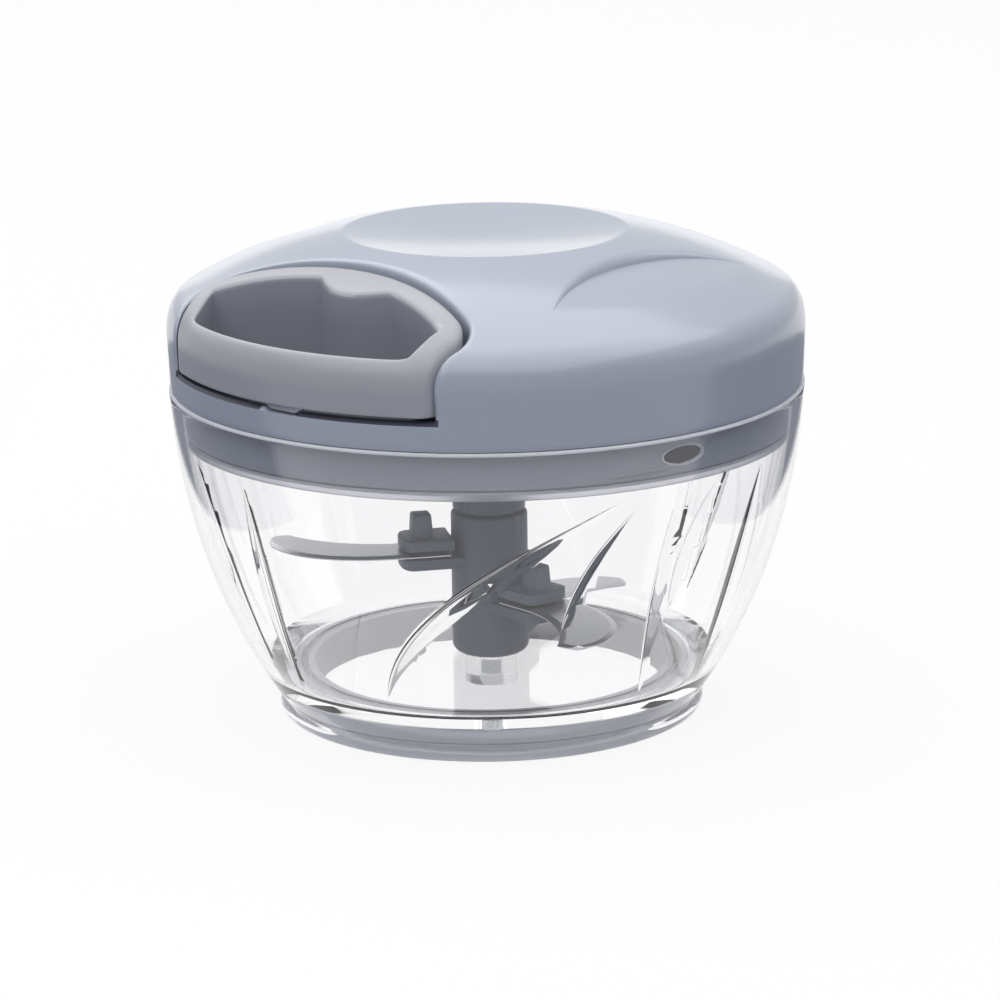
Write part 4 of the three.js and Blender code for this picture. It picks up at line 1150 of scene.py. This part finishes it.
# %% Knot
knot_size, knot_cord_radius, knot_length = 0.5, 0.72, 30.0
knot_path = []
for i in range(120):
    t = full_turn * i / 120
    curl = Vector((
        math.sin(t) + 2 * math.sin(2 * t),
        -math.sin(3 * t) * 1.1,
        math.cos(t) - 2 * math.cos(2 * t),
    ))
    knot_path.append(tuple(Vector((cord_x, knot_y, cord_z)) + curl * knot_size))
knot = lofted("cord_knot_tied", tube_rows(knot_path, knot_cord_radius, 14, closed=True))
smoothed(knot, 60)
fitted(knot, "handle", "nylon_cord", wound_finish("nylon_knot", knot_length), "cord_knot")

# %% Cord run
lead_from = Vector((*polar(winding_radius, math.degrees(lead_turn)), cord_z))
bend_at = Vector((cord_x, eyelet_y, cord_z))
run = (bend_at - lead_from).normalized()
straight_y, knot_face = eyelet_y - 1.5, knot_y + knot_half
lead_path = [tuple(lead_from + run * (0.3 + i * (bend_at - lead_from).length / 26)) for i in range(23)]
lead_path += curve_points(lead_path[-1], tuple(bend_at), (cord_x, straight_y, cord_z), 6)[1:]
straight = [(cord_x, between(straight_y, knot_face, i / 60), cord_z) for i in range(1, 61)]
lead = lofted("cord_run", tube_rows([*lead_path, *straight], cord_radius, 20))
smoothed(lead, 60)
lead.data.materials.append(nylon_run)
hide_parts("cord_lead")
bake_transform(lead)
print("Cord run, mm:", round(sum(math.dist(a, b) for a, b in zip(lead_path, lead_path[1:])), 1))

# %% [markdown]
# ## Eyelet
# A small turned bush of white plastic lines the hole in the pocket's back wall, so that the cord
# slides over a smooth lip.

# %% Eyelet
eyelet_profile = [(1.3, 0), (2.9, 0), (2.9, 0.7), (2.2, 0.7), (2.2, 2.6), (1.3, 2.6), (1.3, 0)]
eyelet = spun("cord_eyelet", eyelet_profile, 48, [(1, 0.3, 3), (4, 0.2, 2)])
eyelet_place = Matrix.Translation(Vector((cord_x, -34.565, cord_z)) * mm)
eyelet.data.transform(eyelet_place @ Matrix.Rotation(-math.pi / 2, 4, "X"))
smoothed(eyelet, 40)
fitted(eyelet, "lid", "white_acetal", white_acetal, "cord_guide")

# %% [markdown]
# ## Lid plate, skirt and seal
# Under the cover a turned plate closes the reel's room. Its skirt reaches down into the bowl, has two
# oval windows for rinsing out and carries a soft seal on a tongue along its lower edge. Each window is
# a shallow recess painted dark as painted shade, with a thin bead round it painted pale as a painted
# highlight, and a slim raised leaf beside it painted lighter as painted light.

# %% Lid plate
plate_z, plate_top, skirt_radius, skirt_low = 66.3, 68.1, 58.4, 57.6
skirt_inner = skirt_radius - 1.8
plate_profile = [
    (9.2, 61.7), (11.1, 61.7), (11.1, plate_z), (skirt_inner, plate_z), (skirt_inner, skirt_low),
    (57.2, skirt_low), (57.2, 57.0), (57.8, 57.0), (57.8, skirt_low), (skirt_radius, skirt_low),
    (skirt_radius, plate_z), (58.9, plate_z), (58.9, plate_top), (9.2, plate_top), (9.2, 61.7),
]
plate = spun("lid_plate_and_skirt", plate_profile, 200, [
    (1, 0.3, 2), (2, 0.8, 3), (3, 1.0, 4), (4, 0.2, 2), (9, 0.25, 2), (12, 0.3, 2),
])
print("Plate body:", len(plate.data.polygons), "faces")

# %% Window, bead and leaf
window_angles, window_z, window_half = (78.5, 258.5), 61.0, (4.3, 1.6)
window_depths = ((-60, 1.5), (-58.5, 1.12), (-58.25, 1.03), (-57.9, 1.0), (-57.4, 0.97))
bead_half, bead_radius = (4.75, 1.8), 0.2
leaf_turns, leaf_levels, leaf_half = (-15.5, 1), (58.7, 59.3), 0.62
leaf_section = ((-1, -0.4), (-0.8, 0.18), (-0.3, 0.4), (0.3, 0.42), (0.8, 0.2), (1, -0.4))


def window_form():
    """The cutter for an oval recess at the front, narrower further in."""
    half_x, half_z = window_half
    turns = [full_turn * k / 56 for k in range(56)]
    return lofted("window", [
        [(half_x * share * math.cos(t), y, window_z + half_z * share * math.sin(t)) for t in turns]
        for y, share in window_depths
    ])


def bead_form():
    """A thin ring round the window, bent to follow the skirt."""
    half_x, half_z = bead_half
    turns = [math.pi * k / 5 for k in range(10)]
    ring = [(bead_radius * math.cos(a), -bead_radius * math.sin(a)) for a in turns]
    rows = []
    for i in range(64):
        t = full_turn * i / 64
        middle = Vector((half_x * math.cos(t), 0, window_z + half_z * math.sin(t)))
        outward = Vector((half_z * math.cos(t), 0, half_x * math.sin(t))).normalized()
        middle.y = -math.sqrt((skirt_radius + 0.02) ** 2 - middle.x ** 2)
        rows.append([tuple(middle + outward * out + Vector((0, forward, 0))) for out, forward in ring])
    return lofted("window_bead", rows, caps=False)


def leaf_form(angle):
    """The slim raised leaf that points at the window at this angle."""
    rows = []
    for i in range(25):
        share = i / 24
        swell = 0.06 + 0.94 * math.sin(math.pi * share ** 0.8) ** 0.8
        turn, level = between(*leaf_turns, share) + angle - 90, between(*leaf_levels, share)
        half = leaf_half * swell
        rows.append([(*polar(skirt_radius + out * swell, turn), level + half * up)
                     for up, out in leaf_section])
    return lofted("ramp", rows)


for angle in window_angles:
    cut(plate, turned_by(window_form(), angle))
    merged(plate, leaf_form(angle))
    merged(plate, turned_by(bead_form(), angle))
for turn in screw_turns:
    cut(plate, upright(*polar(screw_circle, turn), 1.5, 60, 72))
smoothed(plate, 35)
fitted(plate, "lid", "lid_plastic", lid_plastic, "lid_plate")

# %% Window finishes
# The bead takes a painted highlight, the recess painted shade, and the leaf the handle's plastic as painted
# light.
bead_slot, recess_slot, leaf_slot = 1, 2, 3
bead_inside, bead_outside, leaf_low, leaf_high = 0.88, 1.17, 57.9, 60.1
for material in (painted_pale_highlight, painted_deep_shade, handle_plastic):
    plate.data.materials.append(material)
for face in plate.data.polygons:
    for angle in window_angles:
        turned_back = Matrix.Rotation(math.radians(-angle), 3, "Z")
        corners = [turned_back @ plate.data.vertices[i].co / mm for i in face.vertices]
        reach = [math.hypot(x / bead_half[0], (z - window_z) / bead_half[1]) for x, y, z in corners]
        radii, heights = [math.hypot(x, y) for x, y, z in corners], [z for x, y, z in corners]
        if corners[0].y < -57 and max(reach) < bead_outside:
            face.material_index = bead_slot if min(reach) > bead_inside else recess_slot
        elif corners[0].y < -50 and min(radii) > skirt_radius + 0.04:
            if leaf_low < min(heights) and max(heights) < leaf_high:
                face.material_index = leaf_slot
print("Faces in a window's finishes:", sum(face.material_index > 0 for face in plate.data.polygons))

# %% Seal
seal_profile = [
    (56.6, 55.6), (58.2, 55.6), (58.4, 56.2), (58.4, 57.3), (58.1, 57.3), (58.1, 56.7),
    (56.9, 56.7), (56.9, 57.3), (56.6, 57.3), (56.6, 55.6),
]
seal = spun("skirt_seal", seal_profile, 200, [(1, 0.2, 3), (2, 0.25, 3), (3, 0.1, 2)])
smoothed(seal, 50)
fitted(seal, "lid", "pale_silicone", pale_silicone, "lid_seal")

# %% [markdown]
# ## Drive socket
# The socket hangs through the plate in a white bush. Its hexagon hole takes the head of the blade
# column, and the three keys on its flange turn with the pawl wheel above it.

# %% Drive socket
def hexagon(radius):
    """The six corners of a hexagon."""
    return [polar(radius, 60 * k) for k in range(6)]


socket_profile = [
    (0, 39), (7.1, 39), (7.1, 68.4), (12.2, 68.4), (12.2, 69.7), (3.0, 69.7), (3.0, 68.4), (0, 68.4),
]
socket = spun("hexagon_socket", socket_profile, 96, [(1, 0.6, 3), (2, 0.4, 2), (3, 0.2, 2), (4, 0.2, 2)])
cut(socket, raised("hexagon_hole", hexagon(5.5), 35, 53))
for turn in (30, 150, 270):
    key = spun("key", [(0, 68.6), (1.1, 68.6), (1.1, 73.0), (0, 73.0)], 32, [(2, 0.25, 2)])
    merged(socket, moved_by(key, *polar(8.25, turn)))
smoothed(socket, 35)
fitted(socket, "drive", "dark_plastic", dark_plastic, "drive_socket")

# %% [markdown]
# ## Blade column
# The column stands on the bowl's steel pin. It is a turned tube with a hexagon head and three arms,
# each a third of a turn and nine millimetres above the last. The arms are flat bars with rounded ends
# and softened edges, joined on before the pin's hole is cut.

# %% Blade column
blade_low, blade_step, first_turn, blade_half = 13.9, 8.75, 113, 0.75
blade_levels = [(blade_low + blade_step * i, first_turn - 120 * i, name)
                for i, name in enumerate(("low", "middle", "high"))]
arm_length, arm_width, arm_thickness, peg_x, peg_hole = 18.0, 10.0, 2.2, 13.6, 1.6


def bar(name, inner, low, high):
    """A flat bar along +X with a rounded outer end and softened edges."""
    half, turn = arm_width / 2, arm_length - arm_width / 4
    low_end = curve_points((turn, -half), (arm_length, -half), (arm_length, 0), 8)
    high_end = curve_points((arm_length, 0), (arm_length, half), (turn, half), 8)
    outline = [(inner, -half), *low_end, *high_end[1:], (inner, half)]
    return rounded_edges(raised(name, outline, low, high), 0.35, 60, 2)


column_profile = [(0, 30.3), (2.3, 30.3), (2.3, 10.4), (6.5, 10.4), (7.5, 11.4), (7.5, 38.6), (0, 38.6)]
column = spun("column", column_profile, 96, [(2, 0.2, 2), (3, 0.4, 2), (4, 0.4, 2), (5, 0.6, 3)])
merged(column, rounded_edges(raised("head", hexagon(4.9), 38, 51.6), 0.5, 30, 3))
for level, turn, _ in blade_levels:
    top = level - blade_half
    arm = cut(bar("arm", 5, top - arm_thickness, top), upright(peg_x, 0, peg_hole, 0, 50))
    merged(column, turned_by(arm, turn))
smoothed(column, 35)
fitted(column, "rotor", "dark_plastic", dark_plastic, "blade_column")

# %% [markdown]
# ## Blades
# A sickle blade is ground from both faces to an edge all round. Its sections run from the outer to
# the inner edge, eight points each, and follow the outline out to the tip, so that the ground facet
# keeps one width and stays crisp.

# %% Blades
ground_width, half_thickness, edge_half = 1.3, 0.45, 0.1


def blade_lines():
    """The blade's two edges as matching points, from the root to the tip."""
    outer = [(between(8.8, 18, i / 6), 5.5) for i in range(7)]
    outer += curve_points((18, 5.5), (37.5, 5), (41.8, -9.5), 26)[1:]
    inner = [(between(8.8, 18, i / 6), -5.5) for i in range(7)]
    inner += curve_points((18, -5.5), (30, -7), (37.3, -16.8), 26)[1:]
    tip = curve_points((41.8, -9.5), (42.4, -16.8), (37.3, -16.8), 14)
    return outer + tip[1:7] + [tip[7]], inner + tip[13:7:-1] + [tip[7]]


def blade_rows(level):
    """The blade's sections at this height, thin at the edges and thinner at root and tip."""
    rows = []
    for i, (outer, inner) in enumerate(zip(*blade_lines())):
        width = math.dist(outer, inner)
        ground = min(ground_width, 0.45 * width) / width if width > 0 else 0
        thick = half_thickness * min(1, 0.25 + 0.75 * i, width / 2.2)
        edge = min(edge_half, thick)
        section = [(0, edge), (ground, thick), (1 - ground, thick), (1, edge),
                   (1, -edge), (1 - ground, -thick), (ground, -thick), (0, -edge)]
        rows.append([(between(outer[0], inner[0], u), between(outer[1], inner[1], u), level + rise)
                     for u, rise in section])
    return rows


for level, turn, name in blade_levels:
    blade = lofted("sickle_" + name, blade_rows(level))
    cut(blade, upright(peg_x, 0, peg_hole, 0, 50))
    turned_by(blade, turn)
    smoothed(blade, 14)
    fitted(blade, "rotor", "blade_steel", blade_steel, "blade_" + name)

# %% [markdown]
# ## Blade clips
# A clip holds each blade down on its arm. It is the arm's own flat bar once more, with a square peg
# that tapers upwards and a round shank that goes down through blade and arm.

# %% Blade clips
for level, turn, name in blade_levels:
    low = level + blade_half
    high = low + arm_thickness
    clip = bar("clip_" + name, 7.8, low, high)
    peg_levels = ((2.1, low + 0.5), (2.1, high), (1.85, high + 4.6))
    peg_rows = [[(peg_x + a * half, b * half, z) for a, b in square] for half, z in peg_levels]
    merged(clip, rounded_edges(lofted("peg", peg_rows), 0.5, 40, 3))
    shank_low, shank_high = level - 2.95, low + 1
    shank_profile = [(0, shank_low), (1.3, shank_low), (1.3, shank_high), (0, shank_high)]
    merged(clip, moved_by(spun("shank", shank_profile, 32, [(1, 0.2, 2)]), peg_x, 0))
    turned_by(clip, turn)
    smoothed(clip, 35)
    fitted(clip, "rotor", "dark_plastic", dark_plastic, "blade_clip_" + name)

# %% [markdown]
# ## Pin, screws and spring
# The small metal pieces are turned too: the pin in the bowl's floor and the screws, whose threads are
# close rings. The mainspring is a flat strip laid along a spiral inside the reel.

# %% Pin
pin = spun("floor_pin", [(0, 4.2), (2, 4.2), (2, 30), (0, 30)], 48, [(2, 0.8, 4), (1, 0.3, 2)])
smoothed(pin, 40)
fitted(pin, "base", "plated_steel", plated_steel, "spindle_pin")


# %% Screws
thread_pitch, thread_root, thread_crest = 0.55, 0.95, 1.2


def screw_piece(name, head_low, length, x, y):
    """A pan-head screw that points up, with a cross in its head and rings for a thread."""
    head_high = head_low + 1.4
    threads = []
    height = head_high + 0.4
    while height < head_high + length - 0.6:
        threads += [(thread_root, height), (thread_crest, height + 0.25), (thread_root, height + 0.5)]
        height += thread_pitch
    tip = head_high + length
    head = [(0, head_low), (1.3, head_low), (2.3, head_low + 0.2), (2.7, head_low + 0.75), (2.7, head_high)]
    profile = [*head, (thread_crest, head_high), *threads, (0.9, tip), (0, tip + 1.0)]
    piece = spun(name, profile, 40)
    slot_levels = ((1.5, 0.4, head_low - 1), (1.5, 0.4, head_low), (0.6, 0.3, head_low + 0.9))
    for turn in (0, 90):
        slot_rows = [[(a * r, b * w, z) for a, b in square] for r, w, z in slot_levels]
        cut(piece, turned_by(lofted("slot", slot_rows), turn))
    return smoothed(moved_by(piece, x, y), 50)


for i, turn in enumerate(screw_turns):
    screw = screw_piece(f"plate_screw_{i + 1}", 64.6, 7, *polar(screw_circle, turn))
    fitted(screw, "lid", "plated_steel", plated_steel, f"lid_screw_{i + 1}")

# %% Mainspring
spring_inner, spring_outer, spring_turns, spring_steps = 3.925, 19.275, 4, 320
strip_half, strip_z = 0.225, 79.5
strip_section = (
    (-1, -3.1), (-0.5, -3.3), (0.5, -3.3), (1, -3.1), (1, 3.1), (0.5, 3.3), (-0.5, 3.3), (-1, 3.1),
)
spring_rows = []
for i in range(spring_steps + 1):
    share = i / spring_steps
    radius, turn = between(spring_inner, spring_outer, share), share * spring_turns * 360
    spring_rows.append([(*polar(radius + out * strip_half, turn), strip_z + up)
                        for out, up in strip_section])
spring = lofted("coiled_spring", spring_rows)
smoothed(spring, 50)
fitted(spring, "reel", "spring_steel", spring_steel, "mainspring")

# %% [markdown]
# ## Pieces kept from the CAD model
# The reel, its cover, the pawl wheel, the bush, the washer and the reel's screw stay as the CAD has
# them, inside the closed lid. They only take their finishes.

# %% Finishes for CAD pieces
kept_pieces = {
    white_acetal: ("cord_reel", "spring_cover", "pawl_wheel", "drive_bush"),
    plated_steel: ("reel_washer", "reel_screw"),
}
for material, names in kept_pieces.items():
    for name in names:
        for slot in frame["nodes"][name].material_slots:
            slot.material = material
        print(name, "keeps its CAD mesh")

# %% [markdown]
# ## Studio
# The object stands on a plain floor under one broad lamp, with a small fill lamp on each side. Looked
# at directly, in a reflection or through the clear bowl, floor and air show white. Rays that have
# already met a matt surface see them as they are, much darker, so that the white backdrop doesn't
# light the object.

# %% Which rays see white
def seen_directly(tree, camera_share=1.0, glossy_share=1.0):
    """A value of 1 for rays that come from the camera past nothing but gloss and glass."""
    rays = node(tree, "ShaderNodeLightPath")
    total = maths(tree, "MULTIPLY_ADD", camera_share)
    glossy = maths(tree, "MULTIPLY_ADD", glossy_share, use_clamp=True)
    undimmed = maths(tree, "LESS_THAN", 0.5)
    seen = maths(tree, "MULTIPLY")
    linked(
        tree,
        (rays, "Is Camera Ray", total, 0), (rays, "Is Transmission Ray", total, 2),
        (total, 0, glossy, 2), (rays, "Is Glossy Ray", glossy, 0), (rays, "Diffuse Depth", undimmed, 0),
        (glossy, 0, seen, 0), (undimmed, 0, seen, 1),
    )
    return rays, seen


# %% Studio floor
clear_selection()
bpy.ops.mesh.primitive_plane_add(size=16)
studio_floor = named("studio_floor")
floor_finish, tree, paint = new_material("floor_finish")
paint.inputs["Roughness"].default_value = 0.7
paint.inputs["Specular IOR Level"].default_value = 0.2
glow = node(tree, "ShaderNodeEmission", Color=(1, 1, 1, 1), Strength=1.0)
rays, seen = seen_directly(tree, camera_share=0.9)
tone = node(tree, "ShaderNodeMix", data_type="RGBA")
tone.inputs["A"].default_value = (0.2, 0.22, 0.28, 1)
tone.inputs["B"].default_value = (0.9, 0.9, 0.905, 1)
blend = node(tree, "ShaderNodeMixShader")
linked(
    tree,
    (rays, "Is Camera Ray", tone, "Factor"), (tone, "Result", paint, "Base Color"),
    (seen, 0, blend, "Fac"), (paint, "BSDF", blend, 1), (glow, "Emission", blend, 2),
    (blend, "Shader", tree.nodes["Material Output"], "Surface"),
)
studio_floor.data.materials.append(floor_finish)
print("Floor:", len(tree.nodes), "nodes")

# %% Studio air
world = bpy.data.worlds.new("studio_air")
bpy.context.scene.world = world
world.use_nodes = True
tree = world.node_tree
air = tree.nodes["Background"]
air.inputs["Color"].default_value = (0.7, 0.82, 1.0, 1)
air.inputs["Strength"].default_value = 0.18
white = node(tree, "ShaderNodeBackground", Color=(1, 1, 1, 1), Strength=1.0)
rays, seen = seen_directly(tree, glossy_share=0.55)
blend = node(tree, "ShaderNodeMixShader")
linked(
    tree,
    (seen, 0, blend, "Fac"), (air, "Background", blend, 1), (white, "Background", blend, 2),
    (blend, "Shader", tree.nodes["World Output"], "Surface"),
)
print("Air:", len(tree.nodes), "nodes")


# %% Lamps
def soft_lamp(name, place, size, power):
    """A square lamp at a place in metres, turned to the object."""
    bpy.ops.object.light_add(type="AREA", location=place)
    lamp = bpy.context.object
    lamp.name = name
    lamp.rotation_mode = "QUATERNION"
    lamp.rotation_quaternion = (Vector(place) - target).to_track_quat("Z", "Y")
    lamp.data.shape = "SQUARE"
    lamp.data.size, lamp.data.energy = size, power
    print(f"{name}: {power} W, {size} m wide")


soft_lamp("key_light", (0.08, -0.2, 1.2), 3.0, 36)
soft_lamp("left_fill", (-0.85, 0.1, 0.7), 0.9, 1.7)
soft_lamp("right_fill", (0.75, 0.55, 0.75), 0.9, 1.1)

# %% [markdown]
# ## Cards and strip
# Gloss and clear plastic show what stands round them. Two dark cards lie on the floor, one on each
# side, and give the outer edges of bowl and lid their dark lines. A low white strip far behind the
# object gives the dish its bright crescent. Only gloss and glass see them, so they neither light nor
# shade the object, and all of them turn with the camera's side.

# %% Cards and strip
def reflected(name, finish, place):
    """A flat sheet a metre wide, brought to its place and size, that only gloss and glass see."""
    clear_selection()
    bpy.ops.mesh.primitive_plane_add(size=1)
    sheet = named(name)
    sheet.data.transform(Matrix.Rotation(view_turn, 4, "Z") @ place)
    sheet.visible_camera = sheet.visible_diffuse = sheet.visible_shadow = False
    sheet.data.materials.append(finish)
    print(name, "is in place")
    return sheet


card_finish, tree, paint = new_material("card_finish")
paint.inputs["Base Color"].default_value = (0.2, 0.205, 0.24, 1)
paint.inputs["Roughness"].default_value = 0.9
card_size = Matrix.Diagonal((0.42, 0.36, 1, 1))
for side, name in ((-1, "left_card"), (1, "right_card")):
    reflected(name, card_finish, Matrix.Translation((side * 0.33, 0.12, 0.002)) @ card_size)

strip_finish, tree, paint = new_material("strip_finish")
glow = node(tree, "ShaderNodeEmission", Color=(1, 1, 1, 1), Strength=1.25)
linked(tree, (glow, "Emission", tree.nodes["Material Output"], "Surface"))
strip_size = Matrix.Diagonal((0.8, 1, 0.26, 1))
strip_upright = strip_size @ Matrix.Rotation(math.pi / 2, 4, "X")
strip = reflected("horizon_strip", strip_finish, Matrix.Translation((0, 1.4, 0.16)) @ strip_upright)
strip.visible_transmission = False

# %% View transform
bpy.context.scene.view_settings.view_transform = "Standard"
